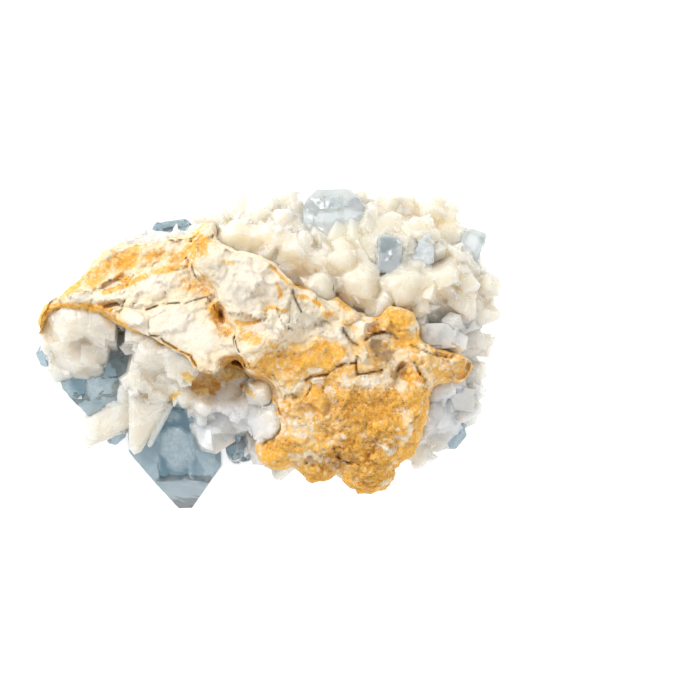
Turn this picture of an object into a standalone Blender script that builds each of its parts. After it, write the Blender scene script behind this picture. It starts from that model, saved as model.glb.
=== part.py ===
# Celestite with dogtooth calcite on a piece of limestone: one loose mineral specimen.
# Origin: middle of its box, on the surface it rests on. X is its length, Y its depth, Z is up.
# The limestone caps it. Calcite teeth grow out round and under the stone, and blue celestite stands in them.

import math
import random

import bmesh
import bpy
from mathutils import Euler, Matrix, Vector, noise

# Driving dimensions, in millimetres unless a name says otherwise
MM = 0.001
GAP = 0.3                    # room between neighbouring pieces
STONE_UNDERSIDE = 13.0       # height of the hidden lower face of the limestone
STONE_GRAIN = 1.0            # size of the steps the limestone is built from
STONE_TRIANGLES = 2700
STONE_CREASE = 35.0          # degrees between faces from which an edge of the limestone reads as a break
CRUST_TRIANGLES = 3800       # the crust and its teeth, before its sockets are cut
MEND_ROUNDS = 6
LOWEST_TOOTH = 0.9           # no calcite reaches lower than this, so the celestite feet carry the weight
SAME_POINT = 0.001           # points nearer than this are one point
SLIVER = 0.002               # edges shorter than this are dropped after a cut

# How rough the limestone is
BROAD_PITCH = 0.22           # broad swells in each millimetre
BROAD_RELIEF = 0.55
FINE_PITCH = 0.62            # finer lumps in each millimetre
FINE_RELIEF = 0.5
CALM = 0.55                  # share of the finer lumps on the smooth half; the granular half has all
GRAINY_FROM = (1.0, -4.0)    # the granular half lies to the right of this X and in front of this Y
BARE_FROM = 1.0              # height above the hidden underside where weather starts to show
BARE_OVER = 4.0              # and over how much height it comes to full strength
PIT_FACING = 0.2             # only skin that faces up at least this much is opened into pits

# A dogtooth crystal
GIRDLE = 0.42                # share of its length below its widest place
GIRDLE_ZIGZAG = 0.10         # how far the girdle steps down at every second corner, as a share of the length
TIP_ZIGZAG = 0.5             # the same round the worn tip, as a share of the tip's width
TOOTH_TURN = (1.7, 0.9)      # turns each tooth its own way, from where its tip is

# Celestite's own forms, as the azimuth and elevation in degrees of each face's normal.
# Azimuth 0 is the b axis, in which its 76 degree points grow; elevation 90 is the c axis.
FORMS = {
    "tip": (0, 0), "rear": (180, 0),
    "prism_left": (52, 0), "prism_right": (-52, 0),
    "side_left": (90, 0), "side_right": (-90, 0),
    "dome_up": (0, 38), "dome_down": (0, -38),
    "dome_rear_up": (180, 38), "dome_rear_down": (180, -38),
    "slope_left": (90, 68), "slope_right": (-90, 68),
    "slope_left_down": (90, -68), "slope_right_down": (-90, -68),
    "top": (0, 90), "foot": (0, -90),
}

# The limestone's blocks: outline seen from above, lowest and highest level, the fall of the top along
# X and Y, and how far the rims are rounded
BLOCKS = {
    "bed": (
        [(-27, 7.5), (-21, 12.8), (-11, 14.8), (-4, 13), (1, 11), (5, 7.5), (10, 5.5), (17, 4.5),
         (20, 1.5), (25, -1.5), (22, -5), (21, -11), (18, -16), (9, -16.5), (1, -15), (1, -6), (-4, -2.5),
         (-10, -1.5), (-15, 2), (-21, 5)],
        STONE_UNDERSIDE, 22.5, (0.02, 0.0), 1.6),
    "left_ledge": (
        [(-33.3, 4.4), (-32.6, 6.1), (-29.9, 8.0), (-26.9, 10.1), (-25.1, 12.2), (-23.2, 14.1),
         (-21.9, 14.8), (-16.6, 15.5), (-10.3, 16.8), (-9.0, 18.2), (-8.0, 18.3), (-7.4, 16.5),
         (-11.5, 11.5), (-17, 9.5), (-20.5, 5.8), (-23.4, 5.0), (-26.0, 5.8), (-31.0, 6.2), (-32.6, 4.6)],
        17.5, 23.4, (0.14, -0.12), 0.7),
    "left_rim": (
        [(-33.4, 4.8), (-32.4, 5.2), (-32.7, 3.2), (-32.9, 1.9), (-33.6, 1.8), (-33.7, 3.4)],
        14.5, 20.5, (0.0, 0.2), 0.1),
    "upper_terrace": (
        [(-29.8, 7.6), (-27.8, 8.7), (-24.5, 8.6), (-21.0, 9.2), (-19.0, 10.8), (-14.5, 12.2),
         (-11.5, 13.7), (-6.5, 10.0), (-6.0, 7.0), (-9.0, 7.5), (-12.6, 6.9), (-17.4, 5.9), (-20.8, 6.4),
         (-22.6, 4.8), (-25.0, 6.4), (-29.0, 6.6)],
        18.0, 26.2, (0.08, -0.10), 0.5),
    "smooth_slab": (
        [(-17.2, 5.6), (-12.6, 6.6), (-9.0, 7.2), (-7.4, 6.2), (-6.4, 4.2), (-5.4, 2.4), (-4.6, 0.8),
         (-4.0, -0.9), (-5.4, -1.2), (-6.6, -2.5), (-7.6, -3.3), (-9.2, -3.3), (-10.2, -2.5),
         (-11.4, -1.0), (-13.2, 0.1), (-15.2, 1.2), (-17.2, 1.8), (-19.6, 3.0), (-22.2, 4.3),
         (-20.6, 5.8)],
        19.0, 28.0, (0.04, 0.06), 0.7),
    "central_ridge": (
        [(-11.0, 14.8), (-9.4, 15.6), (-5.5, 14.2), (0.0, 12.8), (1.5, 12.0), (2.2, 10.3), (3.3, 9.3),
         (3.5, 6.0), (3.0, 2.2), (0.5, 0.4), (-1.4, -1.8), (-2.9, -3.4), (-3.5, -0.9), (-4.6, 1.8),
         (-5.2, 4.4), (-6.3, 7.2), (-7.4, 9.4), (-10.4, 11.6)],
        18.0, 30.8, (-0.13, 0.04), 0.5),
    "right_shoulder": (
        [(3.5, 9.0), (6.5, 8.4), (8.0, 6.8), (10.2, 5.0), (12.0, 1.6), (11.6, 0.6), (6.5, 1.9),
         (3.7, 3.0)],
        18.0, 27.6, (-0.10, 0.05), 0.5),
    "shoulder_edge": (
        [(7.6, 7.2), (10.0, 7.4), (11.4, 5.8), (13.2, 4.8), (14.2, 3.4), (12.4, 1.4), (10.4, 4.6)],
        18.0, 25.0, (-0.1, -0.1), 0.5),
    "middle_step": (
        [(-2.7, -3.6), (-1.2, -1.6), (0.6, 0.5), (3.2, 2.3), (6.5, 1.9), (12.0, 0.9), (13.1, -1.6),
         (12.7, -3.2), (8.6, -3.7), (6.2, -3.8), (4.4, -5.6), (2.0, -5.8), (0.2, -4.0)],
        18.0, 27.0, (-0.03, 0.03), 0.5),
    "upper_crust": (
        [(12.6, 3.6), (14.6, 4.2), (16.8, 4.4), (17.3, 6.3), (18.8, 6.2), (20.2, 5.6), (21.4, 4.8),
         (21.9, 2.8), (20.7, 1.2), (19.0, 1.5), (17.5, 2.0), (15.2, 1.6), (12.4, 1.3)],
        18.0, 26.2, (-0.02, 0.15), 0.7),
    "right_arm": (
        [(19.8, 1.4), (22.2, 1.0), (24.0, 0.2), (26.6, -0.6), (28.6, -1.2), (29.9, -2.0), (29.2, -3.2),
         (27.6, -4.5), (25.0, -4.4), (23.6, -5.4), (21.6, -3.4)],
        17.0, 24.6, (-0.22, 0.0), 0.8),
    "lower_lump": (
        [(2.2, -5.6), (6.2, -4.0), (8.8, -3.9), (13.0, -3.5), (17.0, -3.2), (18.8, -4.6), (22.0, -4.4),
         (23.6, -5.4), (22.8, -7.4), (22.9, -10.0), (21.4, -11.7), (21.4, -14.0), (20.2, -15.8),
         (17.5, -17.0), (11.0, -16.5), (6.0, -16.2), (1.5, -15.6), (0.4, -13.0), (1.9, -12.0),
         (2.0, -9.8), (0.9, -8.4)],
        STONE_UNDERSIDE, 25.4, (0.0, 0.17), 2.4),
    "recess_floor": (
        [(11.6, 2.0), (15.0, 2.6), (20.8, 2.4), (22.6, -1.2), (23.2, -5.0), (17.6, -5.6), (12.0, -4.4),
         (11.4, -1.0)],
        18.0, 24.3, (0.05, 0.05), 0.4),
    "recess_wall": (
        [(12.0, 1.6), (14.6, 1.0), (15.6, -1.2), (17.0, -2.8), (18.4, -4.8), (12.4, -3.6)],
        18.0, 26.2, (-0.05, 0.05), 0.4),
}

# Rounded lobes of the limestone: middle, then half its size along X, Y and Z
LOBES = {
    "front_lobe": ((14.6, -16.6, 17.5), (4.1, 4.4, 5.6)),
    "small_lobe": ((7.3, -16.4, 18.0), (2.9, 3.0, 4.4)),
    "corner_lobe": ((1.0, -14.7, 18.6), (2.6, 2.5, 4.8)),
    "granular_dome": ((15.5, -10.5, 19.2), (7.2, 6.6, 6.7)),
    "right_bulge": ((19.5, -8.8, 18.2), (3.6, 4.0, 6.0)),
}

# Pits that weather has opened in the limestone: place, half-width along X and Y, depth
PITS = {
    "brown_hollow": ((-4.9, -2.3), (2.0, 1.5), 6.5),
    "under_slab": ((-9.2, -4.1), (2.2, 0.9), 5.0),
    "ridge_crevice": ((-6.6, 5.0), (0.9, 1.9), 3.4),
    "crevice_end": ((-5.5, 2.8), (0.8, 1.0), 2.2),
    "shoulder_nook": ((9.4, 4.4), (1.3, 0.9), 1.8),
    "crust_vug": ((15.2, 3.1), (1.3, 1.0), 2.6),
    "recess_end": ((20.0, -3.2), (1.9, 1.0), 1.2),
    "front_fold": ((9.6, -15.8), (2.0, 1.6), 2.4),
    "left_nook": ((-22.2, 6.3), (1.6, 0.5), 1.8),
}

# Body of the calcite crust: middle, then half its size along X, Y and Z
LUMPS = {
    "core": ((0.0, 0.0, 11.0), (25.0, 14.0, 6.8)),
    "back_middle": ((3.5, 12.0, 13.0), (11.0, 8.0, 9.0)),
    "back_right": ((15.5, 12.0, 12.0), (12.0, 8.5, 9.6)),
    "right": ((24.5, 9.5, 11.0), (7.5, 8.0, 8.0)),
    "left": ((-26.8, 1.0, 12.0), (6.0, 5.8, 7.4)),
    "left_middle": ((-17.0, -1.0, 12.5), (7.0, 5.6, 8.0)),
    "left_front": ((-20.0, -6.5, 10.0), (4.8, 4.4, 6.2)),
    "front_middle": ((-5.5, -7.5, 11.0), (6.0, 5.4, 7.2)),
    "front_right": ((24.0, -7.0, 11.0), (4.8, 7.6, 7.0)),
    "right_middle": ((26.0, 1.0, 11.0), (4.2, 4.0, 6.4)),
    "back_left": ((-15.5, 12.8, 11.5), (7.0, 4.4, 5.6)),
    "under_lump": ((9.0, -9.5, 9.0), (11.0, 7.0, 6.0)),
}

# Calcite teeth that show from above: tip, root, width across the girdle, and how blunt the tip is
TEETH = [
    # along the back edge, left to right
    ((-7.8, 18.9, 17.5), (-4.5, 12.5, 12.0), 6.0, 0.2),
    ((-4.9, 20.2, 16.0), (-2.5, 12.5, 11.0), 6.5, 0.2),
    ((-2.0, 20.8, 14.5), (-0.5, 13.5, 10.5), 5.5, 0.2),
    ((0.0, 22.1, 15.0), (1.5, 13.5, 10.5), 7.0, 0.2),
    ((3.6, 22.7, 14.5), (4.0, 13.0, 9.5), 6.4, 0.2),
    ((6.0, 20.8, 14.0), (6.0, 13.0, 9.5), 5.5, 0.2),
    ((13.9, 23.0, 13.0), (12.5, 14.5, 9.0), 6.0, 0.2),
    ((17.0, 21.9, 13.5), (15.5, 13.5, 8.5), 7.5, 0.2),
    ((19.5, 22.3, 13.0), (17.5, 13.5, 8.5), 6.5, 0.2),
    ((21.6, 22.6, 12.5), (20.0, 14.0, 8.0), 5.0, 0.2),
    ((24.6, 22.1, 12.5), (21.5, 13.0, 8.5), 7.0, 0.2),
    ((26.7, 20.2, 12.0), (22.5, 12.5, 8.5), 6.5, 0.2),
    ((28.2, 17.3, 12.5), (23.5, 11.5, 8.5), 6.0, 0.2),
    ((31.2, 12.2, 12.0), (24.5, 9.5, 8.5), 7.5, 0.2),
    ((32.8, 10.6, 11.0), (25.0, 8.0, 8.5), 7.0, 0.2),
    ((32.9, 8.0, 11.5), (25.5, 7.0, 8.5), 6.5, 0.2),
    ((33.9, 4.8, 12.0), (25.5, 8.2, 9.5), 7.0, 0.2),
    ((30.3, 4.4, 14.0), (25.0, 5.5, 9.5), 6.0, 0.2),
    # top of the large mass at the back and right
    ((-4.6, 16.6, 23.0), (-3.2, 13.5, 13.0), 8.0, 0.4),
    ((0.6, 17.0, 23.6), (0.3, 13.0, 13.0), 9.0, 0.4),
    ((5.0, 14.6, 24.2), (5.2, 12.0, 13.0), 9.5, 0.4),
    ((10.2, 14.0, 23.2), (10.2, 11.5, 12.0), 9.5, 0.4),
    ((13.4, 9.2, 24.0), (12.8, 9.0, 12.0), 10.0, 0.4),
    ((7.6, 9.2, 25.2), (7.8, 9.8, 14.0), 4.5, 0.4),
    ((19.6, 9.0, 22.8), (18.8, 9.0, 12.0), 9.0, 0.4),
    ((25.4, 9.8, 21.0), (24.0, 9.0, 11.0), 10.0, 0.4),
    ((22.6, 17.4, 18.4), (20.8, 13.5, 10.5), 8.0, 0.4),
    ((17.4, 18.6, 18.2), (15.8, 14.0, 10.5), 7.0, 0.4),
    ((28.6, 6.6, 18.8), (26.5, 6.8, 10.5), 7.5, 0.4),
    ((27.4, 13.8, 17.8), (25.0, 11.5, 10.0), 7.5, 0.4),
    ((2.0, 19.4, 19.0), (1.8, 14.0, 11.5), 6.5, 0.4),
    ((23.0, 6.2, 21.0), (22.4, 7.0, 11.5), 6.5, 0.4),
    ((16.4, 6.0, 22.8), (16.6, 7.2, 12.5), 6.0, 0.4),
    # left mass, under the ledge
    ((-29.4, 3.6, 21.6), (-28.4, 1.8, 12.0), 8.5, 0.4),
    ((-24.2, 2.6, 21.4), (-24.4, 1.0, 12.0), 8.0, 0.4),
    ((-31.6, 0.8, 18.0), (-28.8, 0.8, 11.0), 7.0, 0.4),
    ((-27.4, -1.8, 18.6), (-26.8, 0.2, 11.0), 7.0, 0.4),
    ((-30.6, -4.2, 14.5), (-28.2, 0.4, 11.0), 5.5, 0.4),
    ((-31.4, -2.4, 15.5), (-28.2, 0.8, 10.5), 5.0, 0.4),
    # middle left, under the smooth slab
    ((-18.6, 0.9, 21.8), (-18.0, 0.0, 12.0), 8.5, 0.4),
    ((-13.6, -1.6, 21.8), (-13.8, -1.0, 12.0), 9.0, 0.4),
    ((-19.0, -4.6, 19.4), (-17.8, -2.6, 11.5), 7.0, 0.4),
    ((-14.6, -5.4, 19.6), (-14.4, -3.0, 12.0), 7.5, 0.4),
    ((-26.4, -13.4, 10.5), (-19.0, -5.0, 12.0), 8.5, 0.4),
    ((-19.3, -15.4, 11.8), (-17.6, -5.5, 13.0), 6.6, 0.4),
    ((-17.8, -14.3, 13.5), (-14.8, -5.5, 14.5), 2.6, 0.4),
    # front middle, above the dark pair of crystals
    ((-8.6, -14.6, 17.6), (-7.0, -7.0, 11.5), 7.5, 0.35),
    ((-9.4, -8.6, 20.2), (-8.6, -6.6, 12.0), 4.5, 0.35),
    ((-6.0, -8.6, 19.6), (-5.8, -6.6, 11.5), 6.0, 0.35),
    ((-3.2, -11.4, 18.0), (-3.6, -7.6, 11.0), 6.0, 0.35),
    ((-4.2, -14.2, 15.8), (-4.0, -8.6, 11.0), 4.5, 0.35),
    ((-2.2, -17.3, 13.0), (-0.6, -12.0, 12.0), 4.0, 0.35),
    ((-0.9, -6.6, 23.0), (-1.0, -6.4, 13.0), 5.5, 0.35),
    ((0.4, -11.2, 23.6), (0.4, -10.8, 14.0), 4.2, 0.35),
    ((-12.6, -7.2, 19.0), (-12.2, -5.0, 12.0), 5.0, 0.35),
    # right edge below the arm
    ((31.3, 0.6, 15.0), (26.5, 1.2, 10.0), 6.5, 0.3),
    ((30.4, -4.8, 14.0), (25.5, -4.5, 10.0), 6.0, 0.3),
    ((29.6, -8.2, 14.0), (24.5, -7.0, 9.5), 6.0, 0.3),
    ((25.4, -5.6, 19.4), (24.4, -6.0, 11.0), 6.5, 0.3),
    ((25.0, -9.8, 18.2), (23.4, -9.2, 10.5), 7.0, 0.3),
    ((22.2, -17.2, 12.5), (21.4, -11.0, 10.5), 5.0, 0.3),
    ((25.0, -14.0, 14.5), (22.8, -10.0, 10.0), 5.5, 0.3),
    # strip behind the ledge
    ((-21.4, 15.9, 15.5), (-17.6, 11.5, 11.5), 5.0, 0.25),
    ((-18.6, 16.7, 14.0), (-15.8, 12.0, 11.0), 5.0, 0.25),
    ((-9.9, 18.9, 14.5), (-9.8, 12.5, 11.0), 5.5, 0.25),
    ((-12.8, 17.6, 15.5), (-12.4, 12.5, 11.5), 5.0, 0.25),
]

# Celestite crystals. Each is a list of single crystals: middle, heading of the b axis in degrees, pitch
# and roll, then the distance of each face from the middle.
CELESTITE = {
    "celestite_front_point": [
        ((-13.5, -13.5, 9.6), -87, 0, 0,
         {"tip": 9.9, "rear": 7.0, "prism_left": 7.3, "prism_right": 6.1, "side_left": 6.3,
          "side_right": 6.8, "dome_up": 7.9, "dome_down": 7.5, "slope_left": 6.1, "slope_right": 6.1,
          "top": 5.4, "foot": 5.6})],
    "celestite_left_pair": [
        ((-25.5, -4.5, 10.6), -85, 0, 0,
         {"tip": 5.1, "rear": 3.0, "prism_right": 4.1, "prism_left": 5.6, "side_left": 4.6,
          "side_right": 4.6, "dome_up": 5.0, "dome_down": 4.8, "slope_right": 4.6, "top": 4.4,
          "foot": 5.4}),
        ((-22.1, -0.6, 11.0), 92, 4, 0,
         {"tip": 4.4, "rear": 4.4, "side_left": 2.2, "side_right": 2.2, "dome_up": 5.2,
          "dome_rear_up": 5.2, "top": 4.6, "foot": 2.0})],
    "celestite_back_left": [
        ((-13.8, 15.0, 9.6), 98, 0, 0,
         {"tip": 3.7, "rear": 3.0, "prism_left": 3.9, "prism_right": 3.9, "side_left": 3.6,
          "side_right": 3.6, "dome_up": 4.2, "dome_down": 4.4, "top": 3.0, "foot": 4.0})],
    "celestite_back_top": [
        ((9.6, 18.0, 14.2), 90, -4, 0,
         {"tip": 5.0, "rear": 3.6, "prism_left": 5.0, "prism_right": 5.0, "side_left": 4.3,
          "side_right": 4.3, "dome_up": 5.7, "dome_down": 5.4, "slope_left": 5.4, "slope_right": 5.4,
          "top": 5.2, "foot": 6.0})],
    "celestite_window": [
        ((17.7, 13.3, 16.0), 84, -6, 0,
         {"tip": 2.6, "rear": 2.6, "side_left": 1.6, "side_right": 1.6, "prism_right": 2.5,
          "prism_left": 2.5, "dome_up": 4.6, "top": 4.8, "foot": 4.4})],
    "celestite_right_rim": [
        ((28.9, 14.6, 10.6), 72, 0, 8,
         {"tip": 2.9, "rear": 2.8, "prism_left": 2.3, "side_left": 1.5, "side_right": 1.5, "dome_up": 4.4,
          "top": 4.2, "foot": 3.4})],
    "celestite_pale_patch": [
        ((22.2, 13.6, 14.6), 100, -8, 0,
         {"tip": 2.0, "rear": 1.8, "side_left": 1.7, "side_right": 1.7, "prism_left": 2.2, "top": 4.6,
          "foot": 3.8, "dome_up": 4.4})],
    "celestite_right_slot": [
        ((24.6, 2.0, 14.6), 2, -5, 0,
         {"tip": 2.3, "rear": 2.9, "side_left": 1.5, "side_right": 1.7, "dome_up": 5.1,
          "dome_rear_up": 5.0, "top": 4.9, "foot": 3.8})],
    "celestite_slot_tip": [
        ((29.0, 3.6, 11.6), 20, 4, 0,
         {"tip": 1.6, "rear": 1.1, "side_left": 0.9, "side_right": 0.9, "prism_left": 1.6,
          "prism_right": 1.6, "top": 4.6, "foot": 1.6})],
    "celestite_right_lower": [
        ((27.4, -6.4, 12.6), -8, -12, 10,
         {"tip": 1.9, "rear": 1.9, "side_left": 1.6, "side_right": 1.6, "dome_up": 4.2, "top": 4.4,
          "foot": 3.4})],
    "celestite_lower_rim": [
        ((26.0, -11.9, 10.0), -40, 0, 0,
         {"tip": 2.6, "rear": 2.8, "prism_left": 2.6, "prism_right": 2.4, "side_left": 2.2,
          "side_right": 2.0, "dome_up": 3.6, "top": 2.8, "foot": 3.2})],
    "celestite_front_pair": [
        ((-5.1, -12.2, 7.6), -84, 6, 0,
         {"tip": 4.2, "rear": 3.8, "prism_left": 3.2, "prism_right": 3.0, "side_left": 1.6,
          "side_right": 1.2, "top": 3.4, "foot": 3.6}),
        ((-4.4, -12.6, 7.0), -66, 0, 12,
         {"tip": 3.8, "rear": 2.0, "prism_left": 2.6, "prism_right": 2.6, "side_left": 1.6,
          "side_right": 1.4, "top": 2.8, "foot": 3.0})],
    "celestite_under_tooth": [
        ((-22.3, -10.6, 5.2), -100, 0, 0,
         {"tip": 3.2, "rear": 2.4, "side_left": 1.3, "side_right": 1.6, "prism_left": 2.2,
          "prism_right": 2.4, "top": 2.0, "foot": 2.4})],
    "celestite_left_rim": [
        ((-32.1, -0.8, 10.0), 204, 0, 0,
         {"tip": 1.5, "rear": 0.9, "prism_left": 1.6, "prism_right": 1.6, "side_left": 1.5,
          "side_right": 1.5, "top": 3.2, "foot": 3.0})],
    "celestite_foot_left": [
        ((-18.8, 6.2, 4.6), 160, 0, 0,
         {"tip": 5.2, "rear": 4.2, "prism_left": 4.8, "prism_right": 4.8, "side_left": 4.0,
          "side_right": 4.0, "dome_down": 5.3, "dome_rear_down": 5.2, "slope_left_down": 5.0, "top": 3.4,
          "foot": 4.6})],
    "celestite_foot_right": [
        ((17.4, 6.8, 5.4), 38, 0, 0,
         {"tip": 5.8, "rear": 4.2, "prism_left": 5.0, "prism_right": 5.0, "side_left": 4.2,
          "side_right": 4.2, "dome_down": 6.0, "slope_right_down": 5.6, "top": 4.0, "foot": 5.4})],
    "celestite_foot_front": [
        ((12.4, -10.4, 5.2), -56, 0, 0,
         {"tip": 5.0, "rear": 4.2, "prism_left": 4.6, "prism_right": 4.6, "side_left": 3.8,
          "side_right": 3.8, "dome_down": 5.4, "dome_rear_down": 5.4, "top": 4.0, "foot": 5.2})],
    "celestite_foot_middle": [
        ((-3.4, 1.6, 4.6), 112, 0, 0,
         {"tip": 4.4, "rear": 3.6, "prism_left": 3.8, "prism_right": 3.8, "side_left": 3.0,
          "side_right": 3.0, "dome_down": 4.8, "slope_left_down": 4.6, "top": 3.6, "foot": 4.6})],
    "celestite_back_low": [
        ((-1.8, 14.6, 6.6), 96, -16, 0,
         {"tip": 5.0, "rear": 4.0, "prism_left": 4.4, "prism_right": 4.2, "side_left": 3.2,
          "side_right": 3.2, "dome_up": 4.8, "dome_down": 4.6, "top": 3.0, "foot": 3.2})],
    "celestite_right_low": [
        ((26.8, 3.4, 6.2), 14, -10, 14,
         {"tip": 3.4, "rear": 3.4, "prism_left": 3.4, "prism_right": 3.6, "side_left": 2.6,
          "side_right": 2.6, "dome_down": 4.0, "top": 1.7, "foot": 3.2})],
}

# Hidden sides and underside: how many small teeth, their size, and the room each keeps
UNDER_TEETH = 60
UNDER_LENGTH = (2.6, 5.0)
UNDER_WIDTH = (5.0, 8.5)
UNDER_BLUNT = (0.1, 0.35)
UNDER_SPACING = 4.4
UNDER_PATCH = 5.0            # skin, in square millimetres, that one place is tried on
UNDER_ROOT = 3.5             # how deep each is rooted
UNDER_FACING = 0.15          # skin that faces up more than this shows from above and takes none of them
UNDER_LEAN = 0.4             # how far each leans aside from the skin it stands on
UNDER_DIP = (-0.35, 0.25)    # and how far down or up
OUTLINE_HALF = (30.5, 19.5)  # half the length and depth within which those small teeth stay
SEED = 11

COLOURS = {
    "limestone": ((0.80, 0.62, 0.36), 0.85),
    "calcite": ((0.88, 0.86, 0.80), 0.35),
    "celestite": ((0.42, 0.55, 0.62), 0.12),
}


def clear_scene():
    for thing in list(bpy.data.objects):
        bpy.data.objects.remove(thing, do_unlink=True)


def make_collection(name):
    group = bpy.data.collections.new(name)
    bpy.context.scene.collection.children.link(group)
    return group


def make_material(name):
    colour, roughness = COLOURS[name]
    material = bpy.data.materials.new(name)
    material.use_nodes = True
    shader = material.node_tree.nodes["Principled BSDF"]
    shader.inputs["Base Color"].default_value = (*colour, 1.0)
    shader.inputs["Roughness"].default_value = roughness
    shader.inputs["Metallic"].default_value = 0.0
    return material


def add_object(name, mesh, group):
    thing = bpy.data.objects.new(name, mesh)
    group.objects.link(thing)
    return thing


def mesh_from(name, shape):
    """Turns a bmesh into a mesh with its faces pointing out."""
    shape.normal_update()
    bmesh.ops.recalc_face_normals(shape, faces=shape.faces)
    if shape.calc_volume(signed=True) < 0:
        bmesh.ops.reverse_faces(shape, faces=shape.faces)
    mesh = bpy.data.meshes.new(name)
    shape.to_mesh(mesh)
    shape.free()
    return mesh


def settle(thing):
    """Applies an object's modifiers to its mesh."""
    graph = bpy.context.evaluated_depsgraph_get()
    graph.update()
    mesh = bpy.data.meshes.new_from_object(thing.evaluated_get(graph))
    thing.modifiers.clear()
    thing.data = mesh


def raise_outline(outline, low, high, fall, rounding):
    """A block: an outline raised from low to high, its rims rounded, its top falling along X and Y."""
    curve = bpy.data.curves.new("outline", "CURVE")
    curve.dimensions = "2D"
    curve.fill_mode = "BOTH"
    curve.extrude = ((high - low) / 2 - rounding) * MM
    curve.bevel_depth = rounding * MM
    curve.bevel_resolution = 1
    curve.offset = -rounding * MM
    spline = curve.splines.new("POLY")
    spline.points.add(len(outline) - 1)
    for point, (x, y) in zip(spline.points, outline):
        point.co = (x * MM, y * MM, 0.0, 1.0)
    spline.use_cyclic_u = True
    holder = add_object("outline", curve, bpy.context.scene.collection)
    graph = bpy.context.evaluated_depsgraph_get()
    mesh = bpy.data.meshes.new_from_object(holder.evaluated_get(graph))
    bpy.data.objects.remove(holder, do_unlink=True)
    shape = bmesh.new()
    shape.from_mesh(mesh)
    bmesh.ops.remove_doubles(shape, verts=shape.verts, dist=SAME_POINT * MM)
    middle_x = sum(x for x, y in outline) / len(outline)
    middle_y = sum(y for x, y in outline) / len(outline)
    for vertex in shape.verts:
        on_top = vertex.co.z > 0
        vertex.co.z += (low + high) / 2 * MM
        if on_top:
            vertex.co.z += fall[0] * (vertex.co.x - middle_x * MM) + fall[1] * (vertex.co.y - middle_y * MM)
    return mesh_from("block", shape)


def add_lump(shape, middle, half, detail):
    """Adds a lump to a bmesh. Each is turned its own way, so that no two show the same faces."""
    turn = Euler((middle[0], middle[1], middle[2]), "XYZ").to_matrix().to_4x4()
    place = Matrix.Translation(Vector(middle) * MM) @ Matrix.Diagonal((*[size * MM for size in half], 1.0))
    bmesh.ops.create_icosphere(shape, subdivisions=detail, radius=1.0, matrix=place @ turn)


def thin(thing, triangles):
    count = sum(len(face.vertices) - 2 for face in thing.data.polygons)
    if count > triangles:
        decimate = thing.modifiers.new("thin", "DECIMATE")
        decimate.ratio = triangles / count
        settle(thing)


def in_pit(x, y):
    """How far weather has lowered the stone at a place, in millimetres."""
    drop = 0.0
    for (pit_x, pit_y), (half_x, half_y), depth in PITS.values():
        reach = ((x - pit_x) / half_x) ** 2 + ((y - pit_y) / half_y) ** 2
        if reach < 1.0:
            drop = max(drop, depth * (1.0 - reach) ** 0.5)
    return drop


def weather(thing):
    """Roughens the limestone with broad swells, finer lumps and pits. Its underside stays plain."""
    mesh = thing.data
    places = []
    for vertex in mesh.vertices:
        place = vertex.co / MM
        normal = vertex.normal
        exposure = min(1.0, max(0.0, (place.z - STONE_UNDERSIDE - BARE_FROM) / BARE_OVER))
        broad = noise.noise(place * BROAD_PITCH + Vector((3.1, 0.0, 7.7)))
        fine = noise.noise(place * FINE_PITCH + Vector((11.0, 5.0, 2.0)))
        lumpy = 1.0 if place.x > GRAINY_FROM[0] and place.y < GRAINY_FROM[1] else CALM
        shift = normal * (BROAD_RELIEF * broad + FINE_RELIEF * lumpy * fine) * exposure
        if normal.z > PIT_FACING:
            shift.z -= in_pit(place.x, place.y)
        places.append((place + shift) * MM)
    for vertex, place in zip(mesh.vertices, places):
        vertex.co = place
    mesh.update()


def build_stone(group, material):
    shape = bmesh.new()
    for outline, low, high, fall, rounding in BLOCKS.values():
        block = raise_outline(outline, low, high, fall, rounding)
        shape.from_mesh(block)
        bpy.data.meshes.remove(block)
    for middle, half in LOBES.values():
        add_lump(shape, middle, half, 3)
    stone = add_object("matrix", mesh_from("matrix", shape), group)
    remesh = stone.modifiers.new("fuse", "REMESH")
    remesh.mode = "VOXEL"
    remesh.voxel_size = STONE_GRAIN * MM
    relax = stone.modifiers.new("relax", "SMOOTH")
    relax.factor = 0.5
    relax.iterations = 1
    settle(stone)
    weather(stone)
    thin(stone, STONE_TRIANGLES)
    stone.data.materials.append(material)
    return stone


def crystal_mesh(name, crystals, grow=0.0):
    """One or more celestite crystals, each a block cut by its own faces. Grow moves every face out."""
    meshes = []
    for middle, heading, pitch, roll, faces in crystals:
        shape = bmesh.new()
        size = 2.4 * (max(faces.values()) + grow) * MM
        bmesh.ops.create_cube(shape, size=size)
        for form, distance in faces.items():
            azimuth, elevation = (math.radians(angle) for angle in FORMS[form])
            level = math.cos(elevation)
            normal = Vector((level * math.cos(azimuth), level * math.sin(azimuth), math.sin(elevation)))
            cut = bmesh.ops.bisect_plane(shape, geom=shape.verts[:] + shape.edges[:] + shape.faces[:],
                                         plane_co=normal * (distance + grow) * MM, plane_no=normal,
                                         clear_outer=True)
            rim = [part for part in cut["geom_cut"] if isinstance(part, bmesh.types.BMEdge)]
            if rim:
                bmesh.ops.contextual_create(shape, geom=rim)
        turn = Euler((math.radians(roll), math.radians(-pitch), math.radians(heading)), "XYZ")
        shape.transform(Matrix.Translation(Vector(middle) * MM) @ turn.to_matrix().to_4x4())
        meshes.append(mesh_from(name, shape))
    return meshes


def build_crystal(name, crystals, group, spare, stone):
    """Crystals that grow into each other become one solid, which stops short of the stone."""
    first, *others = crystal_mesh(name, crystals)
    thing = add_object(name, first, group)
    if others:
        for mesh in others:
            add_object("partner", mesh, spare)
        boolean(thing, "UNION", spare)
        empty(spare)
    add_object("stone_socket", swell(stone.data, GAP), spare)
    boolean(thing, "DIFFERENCE", spare)
    empty(spare)
    keep_largest(thing)
    return thing


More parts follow.
